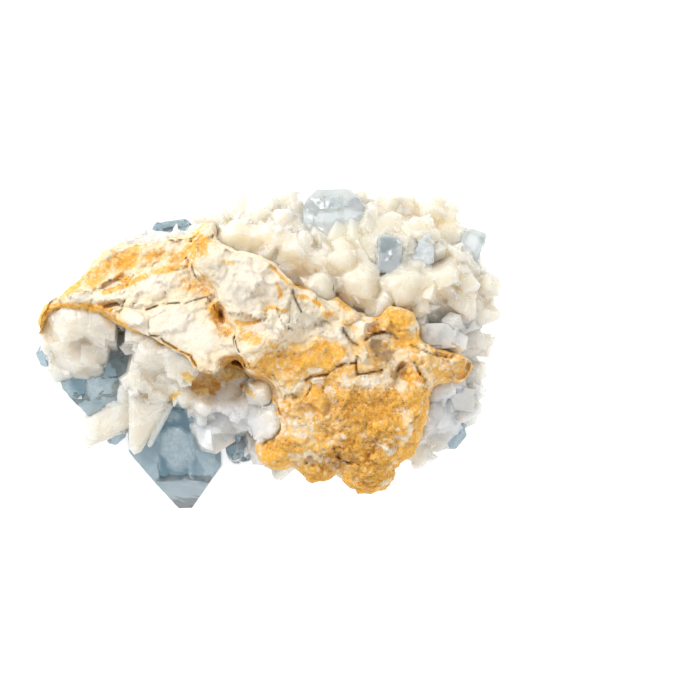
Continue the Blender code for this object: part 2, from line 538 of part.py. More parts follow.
def make_tooth(tip, root, width, blunt):
    """A dogtooth crystal: a steep six-sided pyramid each way from a zigzag girdle, its tip worn blunt."""
    tip = Vector(tip)
    root = Vector(root)
    axis = tip - root
    length = axis.length
    girdle = GIRDLE * length
    shape = bmesh.new()
    made = bmesh.ops.create_cone(shape, cap_ends=True, cap_tris=False, segments=6, radius1=width / 2 * MM,
                                 radius2=blunt * width / 2 * MM, depth=(length - girdle) * MM)
    lift = (length - girdle) / 2 * MM
    for vertex in made["verts"]:
        vertex.co.z += lift + girdle * MM
    ring = [vertex for vertex in made["verts"] if vertex.co.z < (girdle + 0.1) * MM]
    crown = [vertex for vertex in made["verts"] if vertex not in ring]
    for corners, step in ((ring, GIRDLE_ZIGZAG * length), (crown, TIP_ZIGZAG * blunt * width)):
        corners.sort(key=lambda vertex: math.atan2(vertex.co.y, vertex.co.x))
        for number, vertex in enumerate(corners):
            vertex.co.z -= (step if number % 2 else 0.0) * MM
    base = next(face for face in shape.faces if len(face.verts) == 6 and all(v in ring for v in face.verts))
    bottom = bmesh.ops.poke(shape, faces=[base])["verts"][0]
    bottom.co = Vector((0.0, 0.0, 0.0))
    spin = Matrix.Rotation((tip.x * TOOTH_TURN[0] + tip.y * TOOTH_TURN[1]) % math.tau, 4, "Z")
    aim = axis.to_track_quat("Z", "Y").to_matrix().to_4x4()
    shape.transform(Matrix.Translation(root * MM) @ aim @ spin)
    return mesh_from("tooth", shape)


def places_on(body, draw):
    """Places over the sides and underside of the crust's body, each with the way that its skin faces."""
    body.data.calc_loop_triangles()
    places = []
    for triangle in body.data.loop_triangles:
        if triangle.normal.z > UNDER_FACING:
            continue
        corners = [body.data.vertices[number].co / MM for number in triangle.vertices]
        for _ in range(math.ceil(triangle.area / (UNDER_PATCH * MM * MM))):
            across, along = sorted((draw.random(), draw.random()))
            place = corners[0] * across + corners[1] * (along - across) + corners[2] * (1.0 - along)
            places.append((place, Vector(triangle.normal)))
    draw.shuffle(places)
    return places


def under_teeth(body):
    """Teeth on the hidden sides and underside, each standing off the body where it is."""
    draw = random.Random(SEED)
    chosen = []
    teeth = []
    for place, normal in places_on(body, draw):
        if any((place - other).length < UNDER_SPACING for other in chosen):
            continue
        lean = Vector((draw.uniform(-UNDER_LEAN, UNDER_LEAN), draw.uniform(-UNDER_LEAN, UNDER_LEAN),
                       draw.uniform(*UNDER_DIP)))
        heading = (normal + lean).normalized()
        length = draw.uniform(*UNDER_LENGTH)
        width = draw.uniform(*UNDER_WIDTH)
        blunt = draw.uniform(*UNDER_BLUNT)
        if heading.z < 0.0:
            length = min(length, (place.z - LOWEST_TOOTH) / -heading.z)
        tip = place + heading * length
        inside = (tip.x / OUTLINE_HALF[0]) ** 2 + (tip.y / OUTLINE_HALF[1]) ** 2 < 1.0
        if not inside or length < UNDER_LENGTH[0] / 2:
            continue
        chosen.append(place)
        teeth.append((tip, place - heading * UNDER_ROOT, width, blunt))
        if len(teeth) == UNDER_TEETH:
            break
    return teeth


def boolean(thing, operation, group, solver="EXACT"):
    """Joins or cuts a thing with all that a collection holds."""
    modifier = thing.modifiers.new(operation.lower(), "BOOLEAN")
    modifier.operation = operation
    modifier.solver = solver
    modifier.operand_type = "COLLECTION"
    modifier.collection = group
    settle(thing)


def empty(group):
    for thing in list(group.objects):
        bpy.data.objects.remove(thing, do_unlink=True)


def swell(mesh, distance):
    """A copy of a closed mesh with every point moved out by a distance in millimetres."""
    copy = mesh.copy()
    for vertex, source in zip(copy.vertices, mesh.vertices):
        vertex.co = source.co + source.normal * distance * MM
    copy.update()
    return copy


def mend(thing):
    """Closes the few places where thinning has folded the skin onto itself."""
    shape = bmesh.new()
    shape.from_mesh(thing.data)
    for _ in range(MEND_ROUNDS):
        folded = {vertex for edge in shape.edges if len(edge.link_faces) != 2 for vertex in edge.verts}
        if not folded:
            break
        bmesh.ops.delete(shape, geom=list(folded), context="VERTS")
        rims = [edge for edge in shape.edges if len(edge.link_faces) < 2]
        bmesh.ops.holes_fill(shape, edges=rims, sides=0)
        bmesh.ops.triangulate(shape, faces=[face for face in shape.faces if len(face.verts) > 3])
    shape.normal_update()
    bmesh.ops.recalc_face_normals(shape, faces=shape.faces)
    shape.to_mesh(thing.data)
    shape.free()


def keep_largest(thing):
    """Drops chips that the cuts have left loose, or hanging on by a single point."""
    shape = bmesh.new()
    shape.from_mesh(thing.data)
    bmesh.ops.dissolve_degenerate(shape, dist=SLIVER * MM, edges=shape.edges)
    left = set(shape.faces)
    islands = []
    while left:
        reach = [left.pop()]
        island = []
        while reach:
            face = reach.pop()
            island.append(face)
            beside = {other for edge in face.edges for other in edge.link_faces if other in left}
            left -= beside
            reach.extend(beside)
        islands.append(island)
    islands.sort(key=len)
    chips = [face for island in islands[:-1] for face in island]
    bmesh.ops.delete(shape, geom=chips, context="FACES")
    shape.to_mesh(thing.data)
    shape.free()


def cut_sockets(crust, spare, stone):
    """Hollows the crust where the stone and the celestite stand in it, with room round each."""
    for name, crystals in CELESTITE.items():
        for mesh in crystal_mesh(name, crystals, GAP):
            add_object("socket", mesh, spare)
    add_object("stone_socket", swell(stone.data, GAP), spare)
    # The exact solver leaves open edges on this thinned skin, so this one cut uses the other solver
    boolean(crust, "DIFFERENCE", spare, "MANIFOLD")
    empty(spare)
    keep_largest(crust)


def build_crust(group, spare, stone, material):
    for middle, half in LUMPS.values():
        shape = bmesh.new()
        add_lump(shape, middle, half, 2)
        add_object("lump", mesh_from("lump", shape), spare)
    first = spare.objects[0]
    crust = add_object("calcite_druse", first.data, group)
    bpy.data.objects.remove(first, do_unlink=True)
    boolean(crust, "UNION", spare)
    empty(spare)
    for tip, root, width, blunt in TEETH + under_teeth(crust):
        add_object("tooth", make_tooth(tip, root, width, blunt), spare)
    boolean(crust, "UNION", spare)
    empty(spare)
    thin(crust, CRUST_TRIANGLES)
    mend(crust)
    cut_sockets(crust, spare, stone)
    crust.data.materials.clear()
    crust.data.materials.append(material)
    return crust


def main():
    clear_scene()
    parts = make_collection("celestite_with_dogtooth_calcite")
    spare = make_collection("cutters")
    stone = build_stone(parts, make_material("limestone"))
    build_crust(parts, spare, stone, make_material("calcite"))
    blue = make_material("celestite")
    for name, crystals in CELESTITE.items():
        crystal = build_crystal(name, crystals, parts, spare, stone)
        crystal.data.materials.clear()
        crystal.data.materials.append(blue)
    stone.data.shade_smooth()
    stone.data.set_sharp_from_angle(angle=math.radians(STONE_CREASE))


main()
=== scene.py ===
import math
import random

import bpy
import numpy as np
from mathutils import Matrix, Vector, noise
from mathutils.bvhtree import BVHTree
from mathutils.kdtree import KDTree


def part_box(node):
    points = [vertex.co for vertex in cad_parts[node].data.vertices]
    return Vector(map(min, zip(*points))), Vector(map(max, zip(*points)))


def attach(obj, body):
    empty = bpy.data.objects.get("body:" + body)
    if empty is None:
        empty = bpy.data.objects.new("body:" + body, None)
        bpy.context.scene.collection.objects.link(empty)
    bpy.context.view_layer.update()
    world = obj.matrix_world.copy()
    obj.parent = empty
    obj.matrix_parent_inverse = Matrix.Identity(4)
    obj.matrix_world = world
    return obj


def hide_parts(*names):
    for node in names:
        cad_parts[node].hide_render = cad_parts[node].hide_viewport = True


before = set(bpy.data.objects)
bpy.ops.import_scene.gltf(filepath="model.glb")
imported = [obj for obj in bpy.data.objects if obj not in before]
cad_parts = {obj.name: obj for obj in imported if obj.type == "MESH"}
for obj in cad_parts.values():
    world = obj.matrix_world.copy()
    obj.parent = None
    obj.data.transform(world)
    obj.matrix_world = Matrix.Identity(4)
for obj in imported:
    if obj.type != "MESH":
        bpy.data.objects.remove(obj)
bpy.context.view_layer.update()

# Lengths are millimetres unless a name says otherwise
MM = 0.001
WELD = 0.001
STONE_VOXEL = 0.24
STONE_SWELL = 0.18           # this and the next two close the room that the solids keep between them
CALCITE_SWELL = 0.17
CELESTITE_SWELL = 0.17
LOWEST_CALCITE = 0.4         # the crystals at the foot carry the specimen, so the calcite stays off the floor
CALCITE_VOXEL = 0.25
GAP_STEP = 0.68              # gaps in the calcite narrower than four of these are filled in
# How near a neighbour must be for the calcite to lap over it, fully and at all, and the least and most lap
STONE_LAP = (0.7, 2.4, 0.3, 0.9)
CELESTITE_LAP = (0.3, 1.1, 0.0, 0.65)
PIECE_TRIANGLES = 190000
CALCITE_TRIANGLES = 130000   # before the crisp crystals are united with it
SEED = 23
STONE_CAP = (31.0, 1.2)      # points above the first are pressed into this much room
UNION_SOLVER = "MANIFOLD"   # the exact one takes two minutes on a skin this fine

# Limestone: stains, and greyish and deep brown marks that are partly painted shade, as (middle x, y), (half size
# along, across), turn in degrees, strength
OCHRE = [
    ((-31.8, 4.6), (2.2, 2.8), 0, 1.0), ((-25.6, 6.0), (4.2, 0.8), -3, 1.0), ((-25.2, 10.4), (2.3, 1.6), 35, 0.9),
    ((-28.0, 9.2), (2.8, 1.0), 38, 0.9), ((-20.6, 13.0), (3.4, 1.8), 10, 1.0), ((-17.0, 13.5), (2.8, 1.1), 8, 0.8),
    ((-20.6, 10.2), (2.0, 1.0), -30, 0.85), ((-14.5, 11.5), (3.4, 0.6), 13, 0.85), ((-10.2, 14.9), (1.9, 2.7), -20, 1.0),
    ((-12.6, 13.4), (2.2, 0.9), 28, 0.9), ((-11.6, 9.4), (2.5, 1.2), -8, 0.75), ((-8.6, 8.6), (1.5, 2.6), 35, 0.7),
    ((-7.3, 5.2), (1.3, 2.3), 28, 0.9), ((-6.2, 2.6), (1.7, 1.1), 10, 0.95), ((-9.2, 3.6), (2.0, 0.7), -32, 0.6),
    ((-5.4, 12.4), (1.5, 0.5), -8, 0.7), ((-4.9, -2.0), (2.0, 1.6), 0, 0.9), ((-9.0, -5.3), (2.2, 1.2), 0, 1.0),
    ((-14.4, -4.6), (0.5, 1.2), -30, 0.8), ((4.2, -9.4), (4.2, 3.8), 0, 0.85), ((9.0, -8.2), (5.2, 5.2), 0, 1.05),
    ((15.0, -9.8), (7.2, 6.4), 0, 1.1), ((10.0, -13.4), (5.4, 3.2), 0, 1.0), ((2.4, -14.0), (3.2, 2.2), 0, 1.1),
    ((14.6, -17.2), (4.4, 4.6), 0, 1.1), ((7.3, -17.6), (3.2, 2.2), 0, 1.0), ((21.2, -8.6), (2.6, 4.4), 0, 1.0),
    ((25.0, -2.2), (5.8, 2.3), -12, 1.0), ((18.2, 4.0), (3.8, 2.2), 12, 1.15), ((20.0, 1.6), (2.6, 1.6), 0, 1.05),
    ((12.4, 3.8), (1.6, 1.2), 0, 0.7), ((16.6, -0.6), (2.6, 2.6), -30, 0.85), ((0.6, -2.4), (3.6, 3.4), 0, 0.85),
    ((4.8, -1.4), (3.8, 2.8), 0, 0.95), ((8.6, -0.3), (3.0, 1.9), -14, 1.2), ((5.2, 7.6), (1.1, 0.45), -5, 1.0),
    ((7.2, 6.7), (0.9, 0.45), -32, 1.0), ((8.8, 5.0), (1.4, 0.8), -20, 0.75), ((13.6, 0.6), (1.8, 1.6), 0, 0.6),
    ((-2.4, 1.6), (2.4, 1.8), 0, 0.7), ((10.6, -3.0), (3.4, 1.4), 8, 0.85), ((12.4, -5.2), (3.4, 1.0), 5, 0.6),
    ((1.4, -15.6), (3.2, 2.4), 0, 1.2), ((7.0, -18.6), (4.0, 1.8), 0, 1.1), ((14.6, -20.0), (5.0, 2.0), 0, 1.1),
    ((20.2, -15.6), (4.4, 2.6), 45, 1.0), ((20.6, -4.2), (2.4, 1.8), 0, 1.2), ((-24.6, 5.0), (4.0, 0.9), -14, 1.1),
    ((-22.8, 3.6), (1.6, 0.6), -30, 0.6), ((3.6, 12.2), (1.6, 0.6), -50, 0.5), ((10.9, 6.4), (1.6, 0.8), -35, 0.85),
]
PALE = [
    ((-12.6, 3.2), (6.4, 3.0), -20, 0.9), ((-1.8, 9.4), (5.2, 3.2), -12, 0.8), ((-26.6, 7.6), (3.4, 0.9), 5, 0.95),
    ((-16.4, 9.1), (4.2, 1.5), 12, 0.75), ((3.2, 3.4), (3.0, 2.2), 0, 0.6), ((10.2, 1.9), (2.4, 1.1), -20, 0.65),
    ((7.3, -4.4), (0.85, 0.5), 0, 1.0), ((10.8, -12.6), (1.0, 0.6), 0, 0.95), ((17.9, -14.5), (0.8, 0.6), 0, 0.9),
    ((4.0, -10.6), (2.4, 1.8), 0, 0.5), ((12.4, -4.6), (3.6, 0.7), 5, 0.7), ((22.6, -1.8), (2.0, 0.8), -20, 0.5),
    ((-0.6, 4.4), (2.4, 1.8), 0, 0.6), ((-19.0, 4.4), (2.4, 1.2), -25, 0.8), ((14.6, 3.6), (2.2, 1.0), 0, 0.7),
    ((19.8, -8.9), (1.3, 1.0), 0, 0.8), ((3.0, 10.4), (1.8, 1.2), -50, 0.6), ((9.2, -6.8), (0.8, 1.6), 20, 0.9),
    ((4.6, -10.7), (3.2, 2.4), 0, 0.55), ((15.5, -5.0), (3.4, 1.0), 0, 0.8), ((9.5, -13.7), (1.1, 0.7), 0, 0.9),
    ((9.0, -9.2), (2.4, 2.6), 0, 0.4), ((25.0, -1.9), (3.2, 1.1), -16, 0.8), ((7.0, -16.2), (2.2, 1.0), 0, 0.5),
]
# Painted shade: greyish brown where hollows and facets turned from the light look darker
GREY_SHADE = [
    ((-8.0, 11.8), (2.1, 1.0), -8, 0.6), ((-3.6, 7.8), (2.9, 1.8), -15, 0.45), ((7.4, 4.0), (2.1, 1.3), 8, 0.8),
    ((-13.0, 13.0), (1.5, 0.8), 12, 0.75), ((17.0, -0.9), (1.9, 2.4), 35, 1.0), ((18.5, -3.7), (1.3, 0.9), 0, 1.0),
    ((-9.2, 8.2), (1.6, 1.0), 20, 0.6), ((12.4, -9.0), (3.0, 2.4), 0, 0.4), ((16.6, -11.8), (3.0, 1.6), 0, 0.45),
    ((2.6, 7.2), (1.4, 2.0), 0, 0.45), ((15.4, -13.0), (2.4, 1.0), 0, 0.5), ((-20.4, 13.0), (1.0, 0.8), 0, 0.6),
    ((11.6, 3.2), (1.4, 0.8), 0, 0.5), ((19.2, -3.2), (1.4, 1.5), 0, 1.0), ((15.8, 0.9), (1.6, 1.0), 20, 0.95),
]
# Deep ochre brown stain, partly painted shade: on the far side of the granular dome, on the front lobe and in the
# hollows it stands in for shade
DEEP_BROWN_AND_SHADE = [
    ((13.0, -9.4), (5.2, 4.4), 0, 0.9), ((17.6, -8.4), (3.6, 3.2), 0, 0.8), ((14.6, -13.6), (5.0, 2.8), 0, 0.9),
    ((10.4, -16.0), (2.5, 1.3), 8, 1.1), ((14.8, -18.6), (3.6, 2.6), 0, 0.8), ((1.8, -14.0), (2.6, 1.2), 0, 0.8),
    ((7.3, -18.2), (2.0, 1.3), 0, 0.7), ((19.0, -3.4), (1.7, 1.4), 0, 0.9), ((16.6, 2.6), (1.6, 0.7), 5, 1.0),
    ((-5.8, 2.2), (1.0, 0.6), 0, 0.9), ((-7.2, 4.8), (0.8, 1.5), 25, 0.8), ((-20.8, 9.4), (0.9, 0.9), 0, 0.7),
    ((-4.9, -2.4), (2.4, 1.7), 0, 1.4), ((-9.2, -3.9), (2.2, 1.0), 0, 1.4), ((6.4, -10.2), (1.3, 1.0), 0, 0.5),
    ((22.6, -4.6), (1.5, 0.9), -30, 0.8), ((8.9, 4.8), (0.8, 0.6), 0, 0.5), ((-12.3, 15.4), (0.8, 0.5), 0, 0.6),
    ((-23.0, 6.6), (1.2, 0.5), 0, 0.8), ((5.6, 0.4), (0.7, 0.6), 0, 0.5),
]
# Cracks as points along each, half width, depth
CRACKS = [
    ([(-17.4, 5.7), (-16.4, 6.1), (-15.0, 6.5), (-12.6, 6.7)], 0.13, 0.9),
    ([(-11.8, 6.6), (-10.0, 7.2), (-8.6, 7.6)], 0.12, 0.7),
    ([(-23.6, 6.2), (-22.0, 6.7), (-20.9, 6.2), (-20.6, 7.0)], 0.16, 0.8),
    ([(-22.3, 4.4), (-20.0, 3.0), (-18.6, 2.2), (-17.2, 1.6), (-16.6, 2.0), (-15.4, 1.9), (-15.0, 1.2), (-13.0, 0.0),
      (-11.0, -1.0), (-10.2, -2.4), (-9.8, -3.2)], 0.15, 0.9),
    ([(-17.3, 5.4), (-17.2, 3.4), (-16.9, 1.8)], 0.08, 0.35),
    ([(-7.2, 5.9), (-6.8, 5.0), (-6.2, 4.4)], 0.22, 0.8),
    ([(-8.6, 7.4), (-7.6, 6.2), (-7.0, 5.2)], 0.14, 0.7),
    ([(-4.8, 1.8), (-4.2, 0.0), (-3.8, -0.8), (-3.2, -2.6), (-2.9, -3.5)], 0.18, 1.0),
    ([(-11.8, 13.2), (-11.0, 12.0), (-10.5, 10.9), (-9.6, 9.8)], 0.15, 0.8),
    ([(3.7, 8.6), (3.9, 7.5), (4.9, 5.4)], 0.14, 0.9),
    ([(3.4, 6.6), (3.3, 5.0), (3.0, 3.2)], 0.06, 0.3),
    ([(10.8, 2.8), (11.6, 1.8), (12.2, 1.0), (13.4, 0.4)], 0.17, 0.9),
    ([(5.6, -4.5), (6.2, -3.8), (8.7, -3.6), (10.0, -2.6), (11.0, -2.1), (12.7, -2.0)], 0.16, 0.9),
    ([(6.2, -3.8), (6.3, -5.5), (5.7, -6.6)], 0.12, 0.6),
    ([(8.7, -3.6), (8.2, -4.6), (8.0, -6.2)], 0.09, 0.5),
    ([(12.8, -1.6), (13.0, -3.7), (14.5, -3.4), (16.6, -3.0)], 0.15, 0.9),
    ([(20.8, 0.6), (22.0, 0.0), (24.0, -0.8), (26.6, -1.2)], 0.15, 0.7),
    ([(21.3, -2.0), (22.0, -3.2), (22.8, -4.5)], 0.18, 0.8),
    ([(14.2, 1.4), (15.6, 2.4), (17.6, 2.5), (18.8, 1.6)], 0.20, 0.8),
    ([(-2.9, -3.5), (-0.6, -5.4), (1.2, -7.6), (2.0, -9.6)], 0.12, 0.5),
    ([(-14.4, 11.2), (-12.2, 11.6), (-11.2, 12.2)], 0.11, 0.5),
    ([(9.6, -14.4), (10.2, -15.6), (11.8, -16.6)], 0.22, 0.9),
    ([(1.4, 5.9), (2.0, 4.2), (3.0, 2.6)], 0.08, 0.4),
]
# Plates that stand proud with a sharp rim: outline, how far they stand up
PLATES = [
    ([(-29.6, 8.3), (-26.4, 8.6), (-22.3, 8.5), (-19.3, 8.6), (-20.4, 7.2), (-22.7, 6.6), (-26.2, 6.8), (-29.0, 7.4)], 0.7),
    ([(-23.2, 11.5), (-19.5, 11.3), (-19.3, 10.6), (-21.3, 9.8), (-23.2, 10.4)], 0.6),
    ([(-19.3, 10.8), (-16.7, 11.1), (-11.7, 12.2), (-11.2, 10.6), (-13.5, 8.8), (-17.2, 6.3), (-21.3, 6.0), (-20.4, 7.4),
      (-19.0, 8.8)], 0.8),
    ([(-16.2, 9.6), (-13.0, 10.8), (-11.4, 10.2), (-13.8, 8.8)], 0.5),
    ([(-17.1, 5.3), (-12.5, 6.3), (-10.6, 5.2), (-12.0, 2.6), (-16.8, 2.2)], 0.45),
    ([(-20.0, 13.9), (-16.5, 14.6), (-13.4, 14.9), (-13.8, 14.1), (-17.2, 13.6)], 0.5),
    ([(-10.2, 13.6), (-7.0, 13.3), (-5.2, 11.6), (-6.2, 10.2), (-9.6, 11.0)], 0.6),
    ([(-5.0, 12.2), (0.4, 11.4), (2.4, 9.6), (1.6, 7.6), (-1.4, 8.4), (-4.4, 9.6)], 0.5),
    ([(-4.6, 7.4), (-0.8, 7.0), (-0.4, 4.9), (-3.2, 4.2), (-4.9, 5.2)], 0.5),
    ([(0.2, 6.3), (2.9, 6.0), (3.0, 3.0), (1.4, 2.0), (-0.2, 3.4)], 0.6),
    ([(4.4, 6.9), (7.0, 5.9), (9.0, 3.0), (10.4, 1.9), (5.6, 2.7), (4.0, 4.4)], -0.5),
    ([(-2.4, 1.4), (0.4, 1.6), (1.0, -0.8), (-1.6, -2.6)], 0.4),
    ([(2.2, 0.4), (6.4, 1.0), (11.2, 0.4), (11.8, -1.8), (9.6, -2.4), (7.6, -3.4), (5.4, -3.9), (3.0, -2.6)], 0.55),
    ([(13.0, -0.4), (15.2, -0.8), (16.0, -2.8), (13.3, -3.4)], 0.9),
    ([(6.4, -4.0), (8.3, -3.9), (8.2, -5.0), (6.4, -5.1)], 0.45),
    ([(10.0, -4.4), (14.6, -4.1), (15.4, -5.4), (10.6, -5.8)], 0.5),
    ([(3.0, -6.4), (5.4, -6.8), (5.2, -10.2), (2.6, -9.4)], 0.5),
    ([(7.0, -6.2), (8.6, -7.0), (8.4, -9.6), (7.2, -8.8)], 0.6),
    ([(10.0, -12.0), (11.9, -12.2), (11.6, -13.4), (9.9, -13.2)], 0.5),
    ([(17.0, -14.0), (18.6, -14.2), (18.2, -15.2), (17.2, -15.0)], 0.5),
    ([(14.0, 4.2), (16.6, 4.4), (16.2, 3.4), (14.2, 3.2)], 0.6),
    ([(17.4, 5.6), (20.6, 5.0), (20.8, 3.0), (18.4, 2.8)], 0.7),
    ([(21.6, 0.2), (25.4, -1.0), (28.6, -2.0), (26.2, -3.2), (22.8, -2.8)], 0.6),
]
VEINS = [
    ([(-4.4, 3.9), (-3.0, 3.7), (-1.0, 4.1)], 0.26), ([(-0.3, 5.0), (0.0, 6.0), (1.4, 6.0), (1.9, 5.5), (3.0, 5.7)], 0.24),
    ([(0.5, 12.0), (2.0, 10.5), (3.3, 9.3), (5.5, 9.0), (6.5, 8.6)], 0.22),
    ([(-15.0, 1.2), (-13.0, 0.0), (-11.0, -1.0), (-10.2, -2.4)], 0.2), ([(-1.9, -6.7), (-4.0, -5.3)], 0.35),
    ([(-22.0, 4.2), (-20.0, 2.9), (-17.4, 1.6)], 0.28), ([(2.0, 7.6), (1.8, 8.6), (1.4, 9.4)], 0.3),
    ([(-33.4, 2.2), (-33.2, 4.6), (-31.0, 6.2), (-27.0, 6.2)], 0.42), ([(-23.6, 8.2), (-20.6, 9.2), (-17.6, 10.6)], 0.32),
]
# Calcite: where it is warm and creamy, cool, painted greyish brown as shade in recesses, or touched with rust
WARM = [
    ((15.0, 12.5), (17.0, 10.0), -8, 0.9), ((-3.0, 17.0), (5.0, 4.0), 0, 0.8), ((24.0, 17.0), (6.0, 5.0), 0, 0.9),
    ((-29.6, 2.6), (3.6, 3.4), 0, 0.4), ((-22.0, -12.0), (5.0, 3.0), 0, 0.45), ((-14.0, -4.0), (6.0, 3.0), 0, 0.35),
]
COOL = [
    ((-8.4, -12.6), (3.6, 3.6), 0, 1.0), ((26.4, -8.4), (5.4, 7.4), 0, 1.0), ((26.0, 1.0), (5.0, 4.0), 0, 0.75),
    ((-5.0, -10.0), (5.0, 3.8), 0, 0.95), ((-2.6, -14.8), (3.0, 3.0), 0, 0.6), ((-16.0, 16.4), (7.0, 2.4), 0, 0.4),
    ((-33.0, -1.6), (2.0, 2.4), 0, 0.4), ((6.0, 14.6), (4.0, 1.2), -10, 0.3),
]
# Painted shade: greyish brown in the recesses between the lumps
RECESS_SHADE = [
    ((-27.2, 0.7), (1.6, 1.5), 0, 0.4), ((21.5, 6.5), (0.9, 0.7), 0, 0.9), ((7.0, 8.6), (0.5, 1.2), 0, 0.9),
    ((24.2, 13.2), (1.8, 1.2), -25, 0.8), ((-7.8, 18.0), (0.8, 1.0), 0, 1.0), ((1.1, 13.8), (0.5, 1.3), -35, 1.0),
    ((12.0, 9.4), (4.0, 1.0), -15, 0.4), ((-19.4, -11.6), (4.0, 3.6), 20, 0.4), ((16.0, 9.4), (3.0, 0.8), 0, 0.35),
    ((26.0, 6.0), (2.6, 1.4), 0, 0.3), ((-17.0, -2.0), (3.0, 1.0), 40, 0.3),
]
RUST = [
    ((-13.6, -6.7), (0.5, 1.3), -50, 1.0), ((-2.9, -6.0), (1.6, 0.5), -36, 1.1), ((-9.0, -5.2), (2.3, 1.5), 8, 1.5),
    ((-4.8, -3.2), (2.4, 1.3), 20, 1.4), ((18.6, 22.0), (1.2, 0.5), 0, 0.35), ((20.0, 16.8), (0.5, 0.9), 0, 0.4),
    ((19.4, 14.0), (0.6, 0.3), 0, 0.35), ((26.2, 18.8), (0.9, 0.3), 0, 0.25), ((5.6, 8.6), (2.6, 0.4), -38, 0.5),
    ((-11.4, -4.0), (1.4, 0.8), -30, 0.8),
]
# Parts of the calcite whose faces stay broad and plain
PLAIN = [
    ((-29.4, 2.4), (4.4, 4.2), 0, 0.6), ((-23.8, 2.4), (2.6, 2.6), 0, 0.55), ((-22.8, -10.0), (5.2, 3.6), 50, 1.0),
    ((-18.6, -12.8), (2.2, 3.6), -15, 1.0), ((-8.4, -12.6), (3.4, 3.4), 0, 0.6),
    ((33.0, 5.0), (2.6, 1.6), 0, 0.9),
]
# Parts of the calcite where the gaps between crystals stay open
OPEN_GAPS = [
    ((-22.8, -10.4), (6.4, 4.6), 50, 1.0), ((-18.6, -13.2), (3.0, 4.6), -15, 1.0), ((-8.6, -12.4), (3.6, 4.2), 0, 0.8),
    ((33.0, 5.0), (3.0, 2.4), 0, 1.0), ((20.0, 23.0), (12.0, 2.6), 0, 0.6), ((30.0, -8.0), (3.6, 9.0), 0, 0.6),
    ((-1.0, -9.0), (3.0, 5.0), 0, 0.7), ((2.0, 21.0), (5.0, 3.0), 0, 0.6),
]
# Parts of the calcite that are grown together into broad masses
MASSIVE = [
    ((-3.0, 15.0), (7.0, 6.0), 0, 1.0), ((12.0, 11.0), (10.0, 4.0), -10, 0.9), ((18.0, 18.0), (7.0, 4.0), 0, 0.8),
    ((25.0, 9.0), (8.0, 5.0), 0, 0.9), ((-17.0, -2.4), (6.0, 3.0), -30, 0.7),
]
# Round masses that fill the room under the rim of the stone: middle, radius
LUMPS = [
    ((-28.0, 4.0, 20.0), 2.6), ((-26.2, 3.9, 20.6), 2.4), ((-24.4, 3.4, 20.8), 2.4), ((-23.1, 2.2, 20.6), 1.7),
    ((-19.2, 0.8, 21.4), 2.2), ((-17.0, -0.4, 21.7), 2.2), ((-14.6, -1.4, 22.2), 2.0), ((-12.4, -2.6, 22.2), 1.8),
    ((-2.2, -8.6, 18.6), 2.6), ((0.4, -10.8, 20.8), 2.4),
]
# Openings above blue crystals: middle of the foot, size, turn in degrees, widening upwards
OPENINGS = [
    ((-22.1, -2.7, 15.3), (2.7, 4.4), -12, 2.0), ((-21.5, 1.0, 15.7), (0.7, 2.6), -4, 2.6),
    ((-5.2, -15.2, 11.3), (4.0, 4.6), 6, 1.5),
]
OPENING_HEIGHT = 9.0
# Larger blunt crystals grown over the rims of the blue ones: place, size
BLOCKS = [
    ((4.9, 17.0, 18.8), 4.2), ((7.0, 16.6, 19.5), 4.8), ((9.6, 16.2, 19.9), 5.0), ((12.2, 16.4, 19.7), 4.8),
    ((14.0, 18.0, 18.8), 3.8), ((14.4, 19.8, 17.8), 3.0), ((7.8, 14.0, 20.4), 4.8), ((22.4, 3.9, 19.7), 2.6),
    ((24.0, 0.2, 19.6), 2.4), ((26.8, 3.8, 19.3), 3.0), ((27.3, 1.0, 19.2), 3.2), ((27.4, -5.0, 17.4), 2.8),
    ((30.3, -6.4, 16.2), 2.8), ((26.4, -7.8, 17.0), 2.8), ((28.2, -9.2, 16.0), 3.0), ((29.9, -8.6, 15.8), 2.6),
    ((15.3, 13.4, 20.6), 2.4), ((19.9, 15.2, 20.4), 2.4), ((24.6, 14.2, 18.8), 2.6), ((20.4, 16.8, 19.0), 2.6),
    ((22.6, 12.2, 19.4), 2.2), ((27.6, 12.6, 14.6), 2.4), ((-1.2, -6.8, 19.0), 5.4), ((-0.2, -11.0, 17.2), 4.6),
    ((-3.6, -9.2, 17.0), 4.4), ((-8.3, -11.9, 16.0), 6.2), ((-5.6, -9.4, 17.4), 3.8), ((-9.4, -8.4, 18.0), 4.4),
    ((30.4, -3.0, 13.0), 3.4), ((29.0, -9.6, 12.0), 3.6), ((26.4, -11.6, 12.4), 3.4), ((23.6, -13.4, 13.0), 3.2),
    ((31.6, 0.6, 13.6), 3.6), ((32.2, 9.0, 15.0), 3.8), ((-24.4, 3.0, 17.4), 3.6), ((-1.6, 18.6, 18.0), 4.0),
    ((2.2, 20.6, 14.4), 3.8), ((17.6, 21.6, 14.6), 3.6), ((24.0, 20.6, 13.6), 4.0), ((28.6, 8.8, 18.4), 4.4),
    ((12.6, 10.6, 22.0), 4.0), ((18.6, 8.4, 21.6), 4.2), ((23.4, 7.8, 20.6), 4.0),
]
